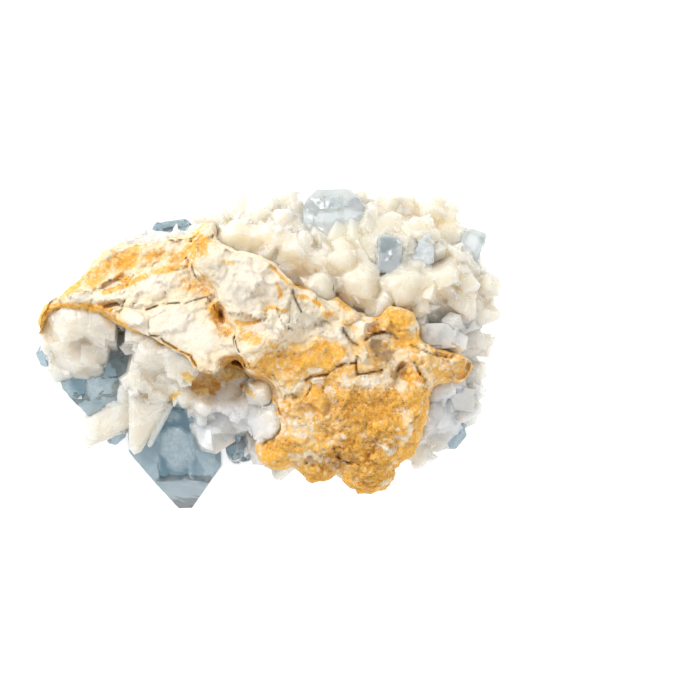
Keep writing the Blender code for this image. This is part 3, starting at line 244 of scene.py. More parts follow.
# Long flat crystals: root, tip, width, how wide the tip still is
BLADES = [
    ((-18.6, -8.6, 14.9), (-26.7, -12.0, 14.0), 4.4, 0.75), ((-17.2, -6.6, 16.0), (-19.6, -15.4, 16.3), 6.6, 0.22),
    ((-14.8, -7.6, 16.2), (-17.4, -14.3, 16.4), 2.4, 0.3), ((-10.0, -5.6, 17.6), (-9.6, -11.2, 18.0), 2.8, 0.5),
    ((28.4, 4.6, 15.6), (34.0, 4.9, 15.4), 4.4, 0.2), ((-4.8, 19.0, 14.0), (-3.4, 23.2, 12.6), 3.0, 0.3),
    ((0.2, 18.6, 14.0), (0.2, 23.3, 12.0), 3.0, 0.3),
]
SMALL_APART = 2.3
SMALL_SIZE = (1.1, 2.2)
BLADE_THICKNESS = 0.42
RIM_FACING = 0.45            # small crystals are many only where the skin faces sideways
# Celestite: where its facets are etched white, and where dark teal is painted as shade
FACET_GRAIN = 0.4
# Outline of each zone and its strength
FROST = [
    ([(-15.6, -12.6), (-14.4, -11.6), (-12.8, -11.6), (-11.7, -12.8), (-11.3, -15.0), (-12.0, -16.6), (-13.3, -17.6),
      (-14.4, -16.8), (-15.6, -15.0)], 1.0),
    ([(-15.3, -9.6), (-14.2, -8.9), (-13.0, -9.5), (-13.2, -10.3), (-14.6, -10.5)], 0.7),
    ([(-26.4, -3.8), (-25.4, -3.9), (-25.2, -6.6), (-26.0, -7.6), (-26.5, -6.0)], 1.0),
    ([(-29.2, -2.4), (-25.0, -2.0), (-25.4, -3.6), (-28.6, -4.0)], 0.55),
    ([(8.8, 22.0), (10.9, 22.4), (11.3, 20.6), (9.6, 20.1), (8.7, 20.8)], 0.8),
    ([(17.0, 12.2), (18.7, 13.9), (18.5, 14.2), (16.9, 12.6)], 0.8),
    ([(20.4, 11.4), (24.0, 11.2), (24.2, 16.6), (20.4, 16.8)], 0.8),
    ([(22.0, 1.0), (23.4, 3.4), (24.0, 3.2), (22.8, 0.8)], 0.6), ([(24.6, 0.8), (25.6, 3.2), (26.2, 3.2), (25.4, 0.8)], 0.5),
]
# Painted shade: dark teal where the crystal looks dark in shade
DARK_SHADE = [
    ([(-16.6, -9.4), (-14.9, -8.3), (-12.4, -8.6), (-10.9, -12.1), (-11.5, -12.6), (-12.8, -11.4), (-14.5, -11.4),
      (-15.9, -12.4), (-16.8, -12.6)], 1.0),
    ([(-16.1, -15.2), (-15.5, -15.6), (-14.4, -17.4), (-14.7, -19.3), (-15.9, -19.0)], 1.0),
    ([(-14.6, -17.2), (-13.3, -17.9), (-11.7, -17.1), (-11.4, -18.8), (-14.6, -18.9)], 0.8),
    ([(-11.5, -16.9), (-10.5, -15.8), (-9.2, -17.6), (-9.6, -19.8), (-11.1, -18.7)], 0.65),
    ([(-29.0, -3.9), (-26.6, -4.0), (-26.6, -6.2), (-27.0, -7.4), (-28.9, -5.4)], 0.8),
    ([(-24.6, -0.2), (-20.2, -0.4), (-20.0, -5.0), (-22.4, -5.0), (-24.8, -3.6)], 0.45),
    ([(16.0, 16.2), (18.8, 16.2), (18.9, 14.6), (16.3, 13.8)], 0.7), ([(-7.6, -14.0), (-5.2, -13.0), (-5.2, -17.0), (-7.6, -16.4)], 0.7),
    ([(-17.6, 16.2), (-10.0, 17.6), (-10.2, 19.0), (-17.6, 18.4)], 0.6), ([(26.0, -5.0), (28.4, -5.0), (28.4, -6.4), (26.0, -6.0)], 0.6),
    ([(24.0, 1.4), (27.6, 1.6), (27.6, 3.8), (25.8, 3.6)], 0.35),
]
LIGHT = [
    ([(-15.5, -19.6), (-14.6, -19.2), (-13.4, -18.9), (-11.1, -18.9), (-9.8, -19.9), (-9.0, -20.6), (-11.0, -24.0),
      (-13.6, -24.0), (-16.2, -21.0)], 1.0),
    ([(-25.0, -4.4), (-22.0, -5.2), (-20.4, -8.0), (-22.2, -8.0), (-25.0, -7.4)], 0.75),
    ([(-27.0, -7.6), (-22.0, -8.4), (-21.6, -10.2), (-26.6, -10.2)], 0.5),
    ([(-5.0, -12.6), (-2.8, -12.6), (-2.6, -15.6), (-4.9, -17.0)], 0.6), ([(-20.4, -15.8), (-17.4, -14.0), (-17.2, -19.2), (-19.0, -17.4)], 0.4),
    ([(15.4, 10.8), (19.8, 10.8), (19.4, 12.4), (17.0, 12.0)], 0.5), ([(5.0, 16.8), (9.0, 17.8), (8.6, 19.6), (5.2, 20.0)], 0.4),
]
TONES = {"celestite_back_top": "grey", "celestite_pale_patch": "pale", "celestite_right_slot": "pale",
         "celestite_right_rim": "grey", "celestite_right_lower": "pale", "celestite_slot_tip": "pale",
         "celestite_window": "grey"}


def pick(*pieces):
    """Selects these pieces and nothing else, the first of them active."""
    if bpy.context.mode != "OBJECT":
        bpy.ops.object.mode_set(mode="OBJECT")
    bpy.ops.object.select_all(action="DESELECT")
    for piece in pieces:
        piece.select_set(True)
    bpy.context.view_layer.objects.active = pieces[0]


def finish_with(piece, kind, **settings):
    """Adds a modifier with these settings and applies it."""
    pick(piece)
    modifier = piece.modifiers.new(kind.lower(), kind)
    for name, value in settings.items():
        setattr(modifier, name, value)
    bpy.ops.object.modifier_apply(modifier=modifier.name)


def copy_node(node, name):
    """A copy of a solid, its doubles merged, ready to be worked."""
    piece = bpy.data.objects.new(name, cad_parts[node].data.copy())
    bpy.context.scene.collection.objects.link(piece)
    piece.data.materials.clear()
    pick(piece)
    bpy.ops.mesh.customdata_custom_splitnormals_clear()
    bpy.ops.object.mode_set(mode="EDIT")
    bpy.ops.mesh.select_all(action="SELECT")
    bpy.ops.mesh.remove_doubles(threshold=WELD * MM)
    bpy.ops.object.mode_set(mode="OBJECT")
    return piece


def places_of(piece):
    """The piece's points in millimetres, one row each."""
    flat = np.empty(len(piece.data.vertices) * 3, np.float32)
    piece.data.vertices.foreach_get("co", flat)
    return flat.reshape(-1, 3).astype(float) / MM


def normals_of(piece):
    flat = np.empty(len(piece.data.vertices) * 3, np.float32)
    piece.data.vertex_normals.foreach_get("vector", flat)
    return flat.reshape(-1, 3).astype(float)


def move_to(piece, places):
    piece.data.vertices.foreach_set("co", (places * MM).astype(np.float32).ravel())
    piece.data.update()


def paint(piece, name, values):
    """Stores a mask over the piece's points for its material to read."""
    layer = piece.data.attributes.new(name, "FLOAT", "POINT")
    layer.data.foreach_set("value", np.clip(values, 0.0, 1.0).astype(np.float32))


def swell(piece, distance):
    move_to(piece, places_of(piece) + normals_of(piece) * distance)


def smooth(low, high, values):
    """A soft step from 0 at low to 1 at high."""
    share = np.clip((values - low) / (high - low), 0.0, 1.0)
    return share * share * (3.0 - 2.0 * share)


def rough(places, pitch, offset, octaves=1):
    """Smooth noise from -1 to 1, with pitch swells in each millimetre."""
    shift = Vector((offset, offset * 0.7, -offset * 1.3))
    rows = (places * pitch).tolist()
    if octaves == 1:
        return np.array([noise.noise(Vector(row) + shift) for row in rows])
    return np.array([noise.fractal(Vector(row) + shift, 0.9, 2.1, octaves) for row in rows])


def cells(places, pitch, offset):
    """How far each point is from the middle of its own cell and from the next one, in cell widths."""
    shift = Vector((offset, -offset, offset * 0.5))
    found = [noise.voronoi(Vector(row) + shift)[0] for row in (places * pitch).tolist()]
    found = np.array([pair[:2] for pair in found])
    return found[:, 0], found[:, 1]


def blobs(places, marks, ragged):
    """The strongest of several soft oval marks seen from above, their rims made ragged."""
    total = np.zeros(len(places))
    for (x, y), (along, across), turn, strength in marks:
        angle = math.radians(turn)
        right = places[:, 0] - x
        back = places[:, 1] - y
        u = (right * math.cos(angle) + back * math.sin(angle)) / along
        v = (back * math.cos(angle) - right * math.sin(angle)) / across
        reach = np.sqrt(u * u + v * v) + ragged
        total = np.maximum(total, strength * (1.0 - smooth(0.3, 1.5, reach)))
    return total


def line_reach(places, points):
    """How far each point is, seen from above, from a line through these points."""
    nearest = np.full(len(places), 1e9)
    for (ax, ay), (bx, by) in zip(points, points[1:]):
        run = np.array([bx - ax, by - ay])
        back = places[:, :2] - np.array([ax, ay])
        share = np.clip(back @ run / (run @ run), 0.0, 1.0)
        nearest = np.minimum(nearest, np.linalg.norm(back - share[:, None] * run, axis=1))
    return nearest


def inside(places, outline):
    """How far each point is inside an outline, seen from above; outside it is below 0."""
    reach = line_reach(places, outline + outline[:1])
    x, y = places[:, 0], places[:, 1]
    within = np.zeros(len(places), bool)
    for (ax, ay), (bx, by) in zip(outline, outline[1:] + outline[:1]):
        if ay != by:
            crosses = (ay > y) != (by > y)
            within ^= crosses & (x < (bx - ax) * (y - ay) / (by - ay) + ax)
    return np.where(within, reach, -reach)


def zones(places, marks, soft):
    """The strongest of several zones that have a sharp rim, seen from above."""
    total = np.zeros(len(places))
    for outline, strength in marks:
        total = np.maximum(total, strength * smooth(-soft, soft, inside(places, outline)))
    return total


def chips(places, count, tilt, box, turn, stretch, seed):
    """Broken facets: each patch leans its own way, so that there are small steps between them."""
    draw = np.random.default_rng(seed)
    (x0, y0), (x1, y1) = box
    seeds = np.column_stack([draw.uniform(x0, x1, count), draw.uniform(y0, y1, count)])
    lean = draw.uniform(-tilt, tilt, (count, 2))
    lift = draw.uniform(-1.0, 1.0, count) * tilt
    angle = math.radians(turn)
    spin = np.array([[math.cos(angle), -math.sin(angle)], [math.sin(angle), math.cos(angle)]])
    flat = places[:, :2] @ spin / np.array([stretch, 1.0])
    own = seeds @ spin / np.array([stretch, 1.0])
    nearest = np.empty(len(places), int)
    finder = KDTree(count)
    for number, (across, along) in enumerate(own):
        finder.insert((across, along, 0.0), number)
    finder.balance()
    for number, (across, along) in enumerate(flat.tolist()):
        nearest[number] = finder.find((across, along, 0.0))[1]
    away = places[:, :2] - seeds[nearest]
    return (away * lean[nearest]).sum(1).clip(-0.8, 0.8) + lift[nearest]


def terraces(height, step, sharp):
    """Turns a slope into steps of this height."""
    share = height / step
    whole = np.floor(share)
    part = share - whole
    return (whole + smooth(0.5 - sharp, 0.5 + sharp, part)) * step - height


def make_stone():
    stone = copy_node("matrix", "limestone")
    swell(stone, STONE_SWELL)
    finish_with(stone, "REMESH", mode="VOXEL", voxel_size=STONE_VOXEL * MM)
    finish_with(stone, "SMOOTH", factor=0.5, iterations=2)
    places = places_of(stone)
    normals = normals_of(stone)
    x, y, z = places.T
    up = smooth(0.15, 0.6, normals[:, 2])
    grainy = smooth(-3.0, 1.5, x - 1.5) * smooth(-1.0, 2.5, -4.2 - y)
    slab = blobs(places, [((-12.4, 3.0), (7.4, 3.6), -22, 1.0)], 0.0)
    wobble = 0.8 * rough(places, 0.35, 4.0)
    steps = terraces(z + wobble + 0.10 * x, 0.85, 0.16) * (1.0 - grainy) * (1.0 - 0.85 * slab)
    area = ((-35, -22), (31, 20))
    jagged = places + np.column_stack([0.5 * rough(places, 1.3, 41.0, 2), 0.5 * rough(places, 1.3, 57.0, 2), 0 * x])
    coarse = chips(jagged, 260, 0.30, area, 24, 1.7, SEED)
    small = chips(jagged, 1500, 0.15, area, 24, 1.8, SEED + 1)
    calm = (1.0 - 0.75 * slab) * (1.0 + 0.5 * smooth(20.5, 23.0, x) * smooth(-7.0, -4.0, y))
    places[:, 2] += up * (0.7 * steps + (1.0 - 0.25 * grainy) * calm * coarse + (0.9 + 0.25 * grainy) * calm * small)
    for outline, lift in PLATES:
        places[:, 2] += up * lift * smooth(-0.12, 0.22, inside(jagged, outline))
    broken = smooth(-0.60, -0.15, rough(places, 0.8, 61.0, 2))
    wander = 0.5 * rough(places, 1.6, 71.0, 2)
    for points, half_width, depth in CRACKS:
        reach = line_reach(places, points) + half_width * wander
        places[:, 2] -= up * broken * depth * (1.0 - smooth(half_width * 0.3, half_width * 1.7, reach))
    near, far = cells(places, 0.9, 3.0)
    grains = 0.55 - near
    near_fine, far_fine = cells(places, 1.9, 8.0)
    grains_fine = 0.5 - near_fine
    tooth = rough(places, 0.9, 12.0, 5)
    broad = rough(places, 0.4, 31.0, 3)
    relief = grainy * (0.36 * grains + 0.26 * grains_fine + 0.26 * tooth + 0.2 * broad)
    relief += (1.0 - grainy) * (0.07 + 0.06 * (1.0 - slab)) * tooth + (1.0 - grainy) * (0.12 + 0.16 * (1.0 - slab)) * broad
    slim = 0.5 * blobs(places, [((-33.2, 2.0), (1.8, 3.6), 0, 1.0)], 0.0)
    places += normals * (relief - slim)[:, None] * smooth(13.6, 15.0, z)[:, None]
    over = np.maximum(places[:, 2] - STONE_CAP[0], 0.0)
    places[:, 2] -= over - STONE_CAP[1] * (1.0 - np.exp(-over / STONE_CAP[1]))
    move_to(stone, places)
    normals = normals_of(stone)
    ragged = 0.55 * rough(places, 0.5, 21.0, 4)
    fall = smooth(0.15, 0.75, normals[:, 2])
    ochre = blobs(places, OCHRE, ragged)
    for points, width in VEINS:
        ochre = np.maximum(ochre, 1.0 - smooth(width * 0.6, width * 2.0, line_reach(places, points) + 0.3 * ragged))
    sides = 1.0 - fall
    bare_rim = smooth(-9.0, -7.0, x) * smooth(2.0, 4.5, y)
    ochre = np.maximum(ochre, sides * (0.55 + 0.35 * smooth(-2.0, 6.0, x - y)) * (1.0 - 0.75 * bare_rim))
    # Painted shade: the cracks are coloured near black, standing in for the shade that falls into them
    crack_shade = np.zeros(len(places))
    for points, half_width, depth in CRACKS:
        reach = line_reach(places, points) + half_width * wander
        crack_shade = np.maximum(crack_shade, broken * min(1.0, depth) * (1.0 - smooth(half_width * 0.3, half_width * 1.3, reach)))
    paint(stone, "ochre", ochre)
    paint(stone, "pale", blobs(places, PALE, ragged) * fall)
    # Painted shade: the greyish brown marks
    paint(stone, "grey", blobs(places, GREY_SHADE, ragged))
    # Painted shade in part: the steep sides get deep brown as well as the deep stain marks
    paint(stone, "deep_and_shaded", blobs(places, DEEP_BROWN_AND_SHADE, ragged) + 0.35 * sides * ochre)
    paint(stone, "crack_shade", crack_shade * fall)
    # Painted shade: brown darkening in the hollows between the grains of the grainy part
    paint(stone, "hollow_shade", smooth(-0.1, 0.5, -relief) * grainy)
    stone.data.shade_smooth()
    stone.data.materials.append(limestone_material())
    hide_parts("matrix")
    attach(stone, "root")
    return stone


def tree_of(*nodes):
    """The solids with these names as one thing that rays and distances can be tried on."""
    corners = []
    faces = []
    for name in nodes:
        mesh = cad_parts[name].data
        start = len(corners)
        corners += [vertex.co / MM for vertex in mesh.vertices]
        faces += [tuple(start + number for number in face.vertices) for face in mesh.polygons]
    return BVHTree.FromPolygons(corners, faces)


def model_dogtooth():
    """One small dogtooth crystal of height 1, modelled once and then copied."""
    bpy.ops.object.select_all(action="DESELECT")
    bpy.ops.mesh.primitive_cone_add(vertices=6, radius1=0.36, radius2=0.05, depth=0.62, location=(0.0, 0.0, 0.69))
    tooth = bpy.context.object
    tooth.name = "small_dogtooth"
    bpy.ops.object.transform_apply(location=True)
    bpy.ops.object.mode_set(mode="EDIT")
    bpy.ops.mesh.select_all(action="DESELECT")
    bpy.ops.object.mode_set(mode="OBJECT")
    for face in tooth.data.polygons:
        face.select = face.normal.z < -0.9
    bpy.ops.object.mode_set(mode="EDIT")
    bpy.ops.mesh.extrude_region_move(TRANSFORM_OT_translate={"value": (0.0, 0.0, -0.36)})
    bpy.ops.transform.resize(value=(0.25, 0.25, 1.0))
    bpy.ops.mesh.select_all(action="DESELECT")
    bpy.ops.object.mode_set(mode="OBJECT")
    for vertex in tooth.data.vertices:
        turn = round(math.atan2(vertex.co.y, vertex.co.x) / (math.pi / 3.0))
        vertex.select = abs(vertex.co.z - 0.38) < 0.02 and turn % 2 == 0
    bpy.ops.object.mode_set(mode="EDIT")
    bpy.ops.transform.translate(value=(0.0, 0.0, -0.10))
    bpy.ops.object.mode_set(mode="OBJECT")
    return tooth


def model_rhomb():
    """One small blunt crystal: a cube stood on its corner, then pressed a little flatter."""
    bpy.ops.object.select_all(action="DESELECT")
    bpy.ops.mesh.primitive_cube_add(size=0.72, rotation=(math.radians(45.0), math.radians(35.26), 0.0))
    rhomb = bpy.context.object
    rhomb.name = "small_rhomb"
    bpy.ops.object.transform_apply(rotation=True)
    bpy.ops.object.mode_set(mode="EDIT")
    bpy.ops.mesh.select_all(action="SELECT")
    bpy.ops.transform.resize(value=(1.0, 1.0, 0.8))
    bpy.ops.transform.translate(value=(0.0, 0.0, 0.35))
    bpy.ops.object.mode_set(mode="OBJECT")
    return rhomb


def seats(mesh, apart, draw):
    """Places spread evenly over a skin, in millimetres, each with the way that the skin faces."""
    mesh.calc_loop_triangles()
    found = []
    taken = set()
    for triangle in mesh.loop_triangles:
        corners = [mesh.vertices[number].co / MM for number in triangle.vertices]
        tries = triangle.area / (MM * MM) / (apart * apart) * 3.0
        for _ in range(int(tries) + (draw.random() < tries % 1.0)):
            across, along = sorted((draw.random(), draw.random()))
            place = corners[0] * across + corners[1] * (along - across) + corners[2] * (1.0 - along)
            key = tuple(int(math.floor(value / apart)) for value in place)
            if key not in taken:
                taken.add(key)
                found.append((place, Vector(triangle.normal)))
    return found


def model_block():
    """A larger blunt crystal with narrow bevels, its faces cut into small triangles."""
    block = model_rhomb()
    block.name = "blunt_block"
    bpy.ops.object.mode_set(mode="EDIT")
    bpy.ops.mesh.select_all(action="SELECT")
    bpy.ops.mesh.bevel(offset=0.03, segments=1)
    bpy.ops.mesh.subdivide(number_cuts=2)
    bpy.ops.mesh.quads_convert_to_tris()
    bpy.ops.object.mode_set(mode="OBJECT")
    return block


def model_blade(root, tip, width, narrow):
    """A flat crystal from its root to its blunt tip, both in millimetres."""
    run = (Vector(tip) - Vector(root)) * MM
    bpy.ops.object.select_all(action="DESELECT")
    bpy.ops.mesh.primitive_cube_add(size=1.0, location=(0.0, 0.0, 0.5 * run.length))
    blade = bpy.context.object
    blade.name = "grown_blade"
    blade.scale = (width * MM, width * BLADE_THICKNESS * MM, run.length)
    bpy.ops.object.transform_apply(location=True, rotation=False, scale=True)
    bpy.ops.object.mode_set(mode="EDIT")
    bpy.ops.mesh.select_mode(type="FACE")
    bpy.ops.mesh.select_all(action="DESELECT")
    bpy.ops.object.mode_set(mode="OBJECT")
    for face in blade.data.polygons:
        face.select = face.normal.z > 0.9
    bpy.ops.object.mode_set(mode="EDIT")
    bpy.ops.transform.resize(value=(narrow, 0.5 + 0.5 * narrow, 1.0))
    bpy.ops.mesh.select_all(action="SELECT")
    bpy.ops.mesh.bevel(offset=width * 0.12 * MM, segments=1, clamp_overlap=True)
    bpy.ops.object.mode_set(mode="OBJECT")
    turn = run.to_track_quat("Z", "Y").to_matrix().to_4x4()
    blade.data.transform(Matrix.Translation(Vector(root) * MM) @ turn)
    return blade


def place_crystal(model, place, heading, size, draw):
    """A copy of a model with its own mesh, stood on a place in millimetres."""
    turn = heading.to_track_quat("Z", "Y").to_matrix().to_4x4()
    spin = Matrix.Rotation(draw.uniform(0.0, math.tau), 4, "Z")
    mesh = model.data.copy()
    mesh.transform(Matrix.Translation(place * MM) @ turn @ spin @ Matrix.Diagonal((*(size * MM), 1.0)))
    crystal = bpy.data.objects.new("grown_crystal", mesh)
    bpy.context.scene.collection.objects.link(crystal)
    return crystal


def grow_crystals(crust):
    """Crisp crystals on the skin: the larger ones at their places, small ones mostly along the rims."""
    draw = random.Random(SEED)
    others = tree_of(*[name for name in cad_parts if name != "calcite_druse"])
    own = BVHTree.FromPolygons(places_of(crust).tolist(), [face.vertices[:] for face in crust.data.polygons])
    tooth, rhomb, block = model_dogtooth(), model_rhomb(), model_block()
    low, high = (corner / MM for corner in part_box("calcite_druse"))
    grown = []
    for place, normal in seats(crust.data, SMALL_APART, draw):
        lean = Vector((draw.gauss(0.0, 0.34), draw.gauss(0.0, 0.34), draw.gauss(0.0, 0.34)))
        heading = (normal + lean).normalized()
        height = draw.uniform(*SMALL_SIZE)
        width = height * draw.uniform(0.75, 1.25)
        model = tooth if draw.random() < 0.65 else rhomb
        plain_place = any(
            ((place.x - x) / along) ** 2 + ((place.y - y) / across) ** 2 < 1.4
            for (x, y), (along, across), turn, strength in PLAIN
        )
        if plain_place or (abs(normal.z) > RIM_FACING and draw.random() < 0.95):
            continue
        start = place + normal * 0.15
        if own.ray_cast(start, normal, height * 1.6)[0] is not None:
            continue
        if others.ray_cast(start, heading, height + 0.5)[0] is not None:
            continue
        tip = place + heading * height * 0.75
        if tip.z < 1.5 or any(tip[i] < low[i] + 0.1 or tip[i] > high[i] - 0.1 for i in range(2)):
            continue
        grown.append(place_crystal(model, place - heading * height * 0.38, heading, Vector((width, width, height)), draw))
    for place, size in BLOCKS:
        heading = Vector((draw.gauss(0.0, 0.3), draw.gauss(0.0, 0.3), 1.0)).normalized()
        grown.append(place_crystal(block, Vector(place) - heading * size * 0.55, heading, Vector((size, size, size)), draw))
    for root, tip, width, narrow in BLADES:
        grown.append(model_blade(root, tip, width, narrow))
    for model in (tooth, rhomb, block):
        bpy.data.objects.remove(model, do_unlink=True)
    group = bpy.data.collections.new("grown_crystals")
    bpy.context.scene.collection.children.link(group)
    for crystal in grown:
        bpy.context.scene.collection.objects.unlink(crystal)
        group.objects.link(crystal)
    finish_with(crust, "BOOLEAN", operation="UNION", operand_type="COLLECTION", collection=group, solver=UNION_SOLVER)
    for crystal in grown:
        bpy.data.objects.remove(crystal, do_unlink=True)
    bpy.data.collections.remove(group)


def open_above(crust):
    """Cuts the openings through which the blue crystals under the calcite show."""
    for foot, (wide, long), turn, widening in OPENINGS:
        bpy.ops.object.select_all(action="DESELECT")
        middle = Vector(foot) + Vector((0.0, 0.0, 0.5 * OPENING_HEIGHT))
        bpy.ops.mesh.primitive_cube_add(size=1.0, location=middle * MM, rotation=(0.0, 0.0, math.radians(turn)))
        cutter = bpy.context.object
        cutter.scale = (wide * MM, long * MM, OPENING_HEIGHT * MM)
        bpy.ops.object.transform_apply(location=False, rotation=False, scale=True)
        bpy.ops.object.mode_set(mode="EDIT")
        bpy.ops.mesh.select_mode(type="FACE")
        bpy.ops.mesh.select_all(action="DESELECT")
        bpy.ops.object.mode_set(mode="OBJECT")
        for face in cutter.data.polygons:
            face.select = face.normal.z > 0.9
        bpy.ops.object.mode_set(mode="EDIT")
        bpy.ops.transform.resize(value=(widening, widening, 1.0))
        bpy.ops.object.mode_set(mode="OBJECT")
        finish_with(crust, "BOOLEAN", operation="DIFFERENCE", object=cutter, solver=UNION_SOLVER)
        bpy.data.objects.remove(cutter, do_unlink=True)


def slice_faces(piece, pitch):
    """Cuts every face along planes this far apart, so that it has points to move; the shape stays as it is."""
    places = places_of(piece)
    pick(piece)
    bpy.ops.object.mode_set(mode="EDIT")
    for axis in range(3):
        across = [0.0, 0.0, 0.0]
        across[axis] = 1.0
        for at in np.arange(places[:, axis].min() + 0.5 * pitch, places[:, axis].max(), pitch):
            bpy.ops.mesh.select_all(action="SELECT")
            bpy.ops.mesh.bisect(plane_co=[at * MM * share for share in across], plane_no=across, threshold=0.0)
    bpy.ops.mesh.select_all(action="SELECT")
    bpy.ops.mesh.quads_convert_to_tris()
    bpy.ops.object.mode_set(mode="OBJECT")


def crystal_heads(places, normals, apart, lean, seed):
    """Heads of crystals spread over a skin, the way each points, and the nearest heads to each point."""
    draw = np.random.default_rng(seed)
    order = draw.permutation(len(places))
    squares = np.floor(places[order] / apart).astype(int)
    chosen = order[np.unique(squares, axis=0, return_index=True)[1]]
    heads = places[chosen]
    axes = normals[chosen] + draw.normal(0.0, lean, (len(chosen), 3))
    axes /= np.linalg.norm(axes, axis=1)[:, None]
    finder = KDTree(len(chosen))
    for number, head in enumerate(heads):
        finder.insert(head, number)
    finder.balance()
    near = np.array([[hit[1] for hit in finder.find_n(place, 5)] for place in places.tolist()])
    return heads, axes, near, draw


def grown_faces(places, normals, apart, slope, lean, seed):
    """Blunt three-sided crystal tips grown closely together: how far each point stands out for them."""
    heads, axes, near, draw = crystal_heads(places, normals, apart, lean, seed)
    count = len(heads)
    side = np.cross(axes, draw.normal(0.0, 1.0, (count, 3)))
    side /= np.linalg.norm(side, axis=1)[:, None]
    other = np.cross(axes, side)
    stand = draw.uniform(0.0, 0.30, count) * apart
    crown = draw.uniform(0.02, 0.22, count) * apart
    tilt = draw.normal(0.0, 0.16, (count, 3))
    height = np.full(len(places), -9.0)
    for column in near.T:
        away = places - heads[column]
        right = (away * side[column]).sum(1)
        back = (away * other[column]).sum(1)
        reach = np.maximum(right, np.maximum(0.866 * back - 0.5 * right, -0.866 * back - 0.5 * right))
        tip = np.minimum(stand[column] - slope * reach, crown[column] + (away * tilt[column]).sum(1))
        tip[(normals * axes[column]).sum(1) < 0.1] = -9.0
        height = np.maximum(height, tip)
    return np.clip(height, -0.3 * apart, 0.5 * apart)


def cut_faces(places, normals, apart, lean, most, seed):
    """Broad flat faces: how far each point is from the plane through the nearest crystal head."""
    heads, axes, near, draw = crystal_heads(places, normals, apart, lean, seed)
    nearest = near[:, 0]
    facing = np.maximum((normals * axes[nearest]).sum(1), 0.4)
    return np.clip(((heads[nearest] - places) * axes[nearest]).sum(1) / facing, -most, most)


def make_calcite():
    crust = copy_node("calcite_druse", "dogtooth_calcite")
    lumps = []
    for middle, radius in LUMPS:
        bpy.ops.object.select_all(action="DESELECT")
        bpy.ops.mesh.primitive_ico_sphere_add(subdivisions=2, radius=radius * MM, location=Vector(middle) * MM)
        lumps.append(bpy.context.object)
    pick(crust, *lumps)
    bpy.ops.object.join()
    finish_with(crust, "REMESH", mode="VOXEL", voxel_size=CALCITE_VOXEL * MM)
    for distance in (GAP_STEP, GAP_STEP, -GAP_STEP, -GAP_STEP):
        share = 1.0 - blobs(places_of(crust), OPEN_GAPS, 0.0)
        swell(crust, distance * share[:, None])
        finish_with(crust, "REMESH", mode="VOXEL", voxel_size=CALCITE_VOXEL * MM)
    places = places_of(crust)
    normals = normals_of(crust)
    blue = [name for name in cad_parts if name.startswith("celestite_")]
    uneven = smooth(-0.5, 0.5, rough(places, 0.45, 33.0, 3))
    lap = np.zeros(len(places))
    for near_nodes, (full, none, least, most) in ((["matrix"], STONE_LAP), (blue, CELESTITE_LAP)):
        tree = tree_of(*near_nodes)
        gap = np.array([tree.find_nearest(place)[3] for place in places.tolist()])
        lap = np.maximum(lap, (least + (most - least) * uneven) * (1.0 - smooth(full, none, gap)))
    calm = 1.0 - 0.85 * blobs(places, PLAIN, 0.15 * rough(places, 0.3, 2.0, 2))
    broad = cut_faces(places, normals, 3.6, 0.16, 0.8, SEED)
    middle = grown_faces(places, normals, 2.2, 0.6, 0.4, SEED + 1)
    fine = grown_faces(places, normals, 0.9, 0.6, 0.5, SEED + 2)
    stained = blobs(places, RUST, 0.3 * rough(places, 0.6, 17.0, 3))
    grains = smooth(0.4, 0.9, stained) * (0.5 - cells(places, 1.6, 8.0)[0])
    large = cut_faces(places, normals, 6.2, 0.14, 1.3, SEED + 3)
    massive = blobs(places, MASSIVE, 0.0)
    relief = calm * ((0.62 - 0.30 * massive) * broad + (0.30 - 0.18 * massive) * middle + (0.12 - 0.05 * massive) * fine)
    relief += 0.55 * massive * large + 0.05 * rough(places, 0.5, 5.0, 4) + 0.7 * grains
    places += normals * (CALCITE_SWELL + lap + relief - relief.mean())[:, None]
    places[:, 2] = np.maximum(places[:, 2], LOWEST_CALCITE)
    move_to(crust, places)
    count = len(crust.data.polygons) * 2
    if count > CALCITE_TRIANGLES:
        finish_with(crust, "DECIMATE", ratio=CALCITE_TRIANGLES / count)
    open_above(crust)
    grow_crystals(crust)
    crust.data.calc_loop_triangles()
    count = len(crust.data.loop_triangles)
    if count > PIECE_TRIANGLES:
        finish_with(crust, "DECIMATE", ratio=PIECE_TRIANGLES / count)
    places = places_of(crust)
    ragged = 0.35 * rough(places, 0.4, 17.0, 3)
    paint(crust, "warm", blobs(places, WARM, ragged))
    paint(crust, "cool", blobs(places, COOL, ragged))
    # Painted shade in the recesses
    paint(crust, "recess_shade", blobs(places, RECESS_SHADE, ragged))
    paint(crust, "rust", blobs(places, RUST, 0.3 * rough(places, 0.6, 17.0, 3)))
    crust.data.shade_smooth()
    pick(crust)
    bpy.ops.object.shade_smooth_by_angle(angle=math.radians(32.0))
    crust.data.materials.clear()
    crust.data.materials.append(calcite_material())
    crust.data.polygons.foreach_set("material_index", np.zeros(len(crust.data.polygons), np.int32))
    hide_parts("calcite_druse")
    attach(crust, "root")
    return crust


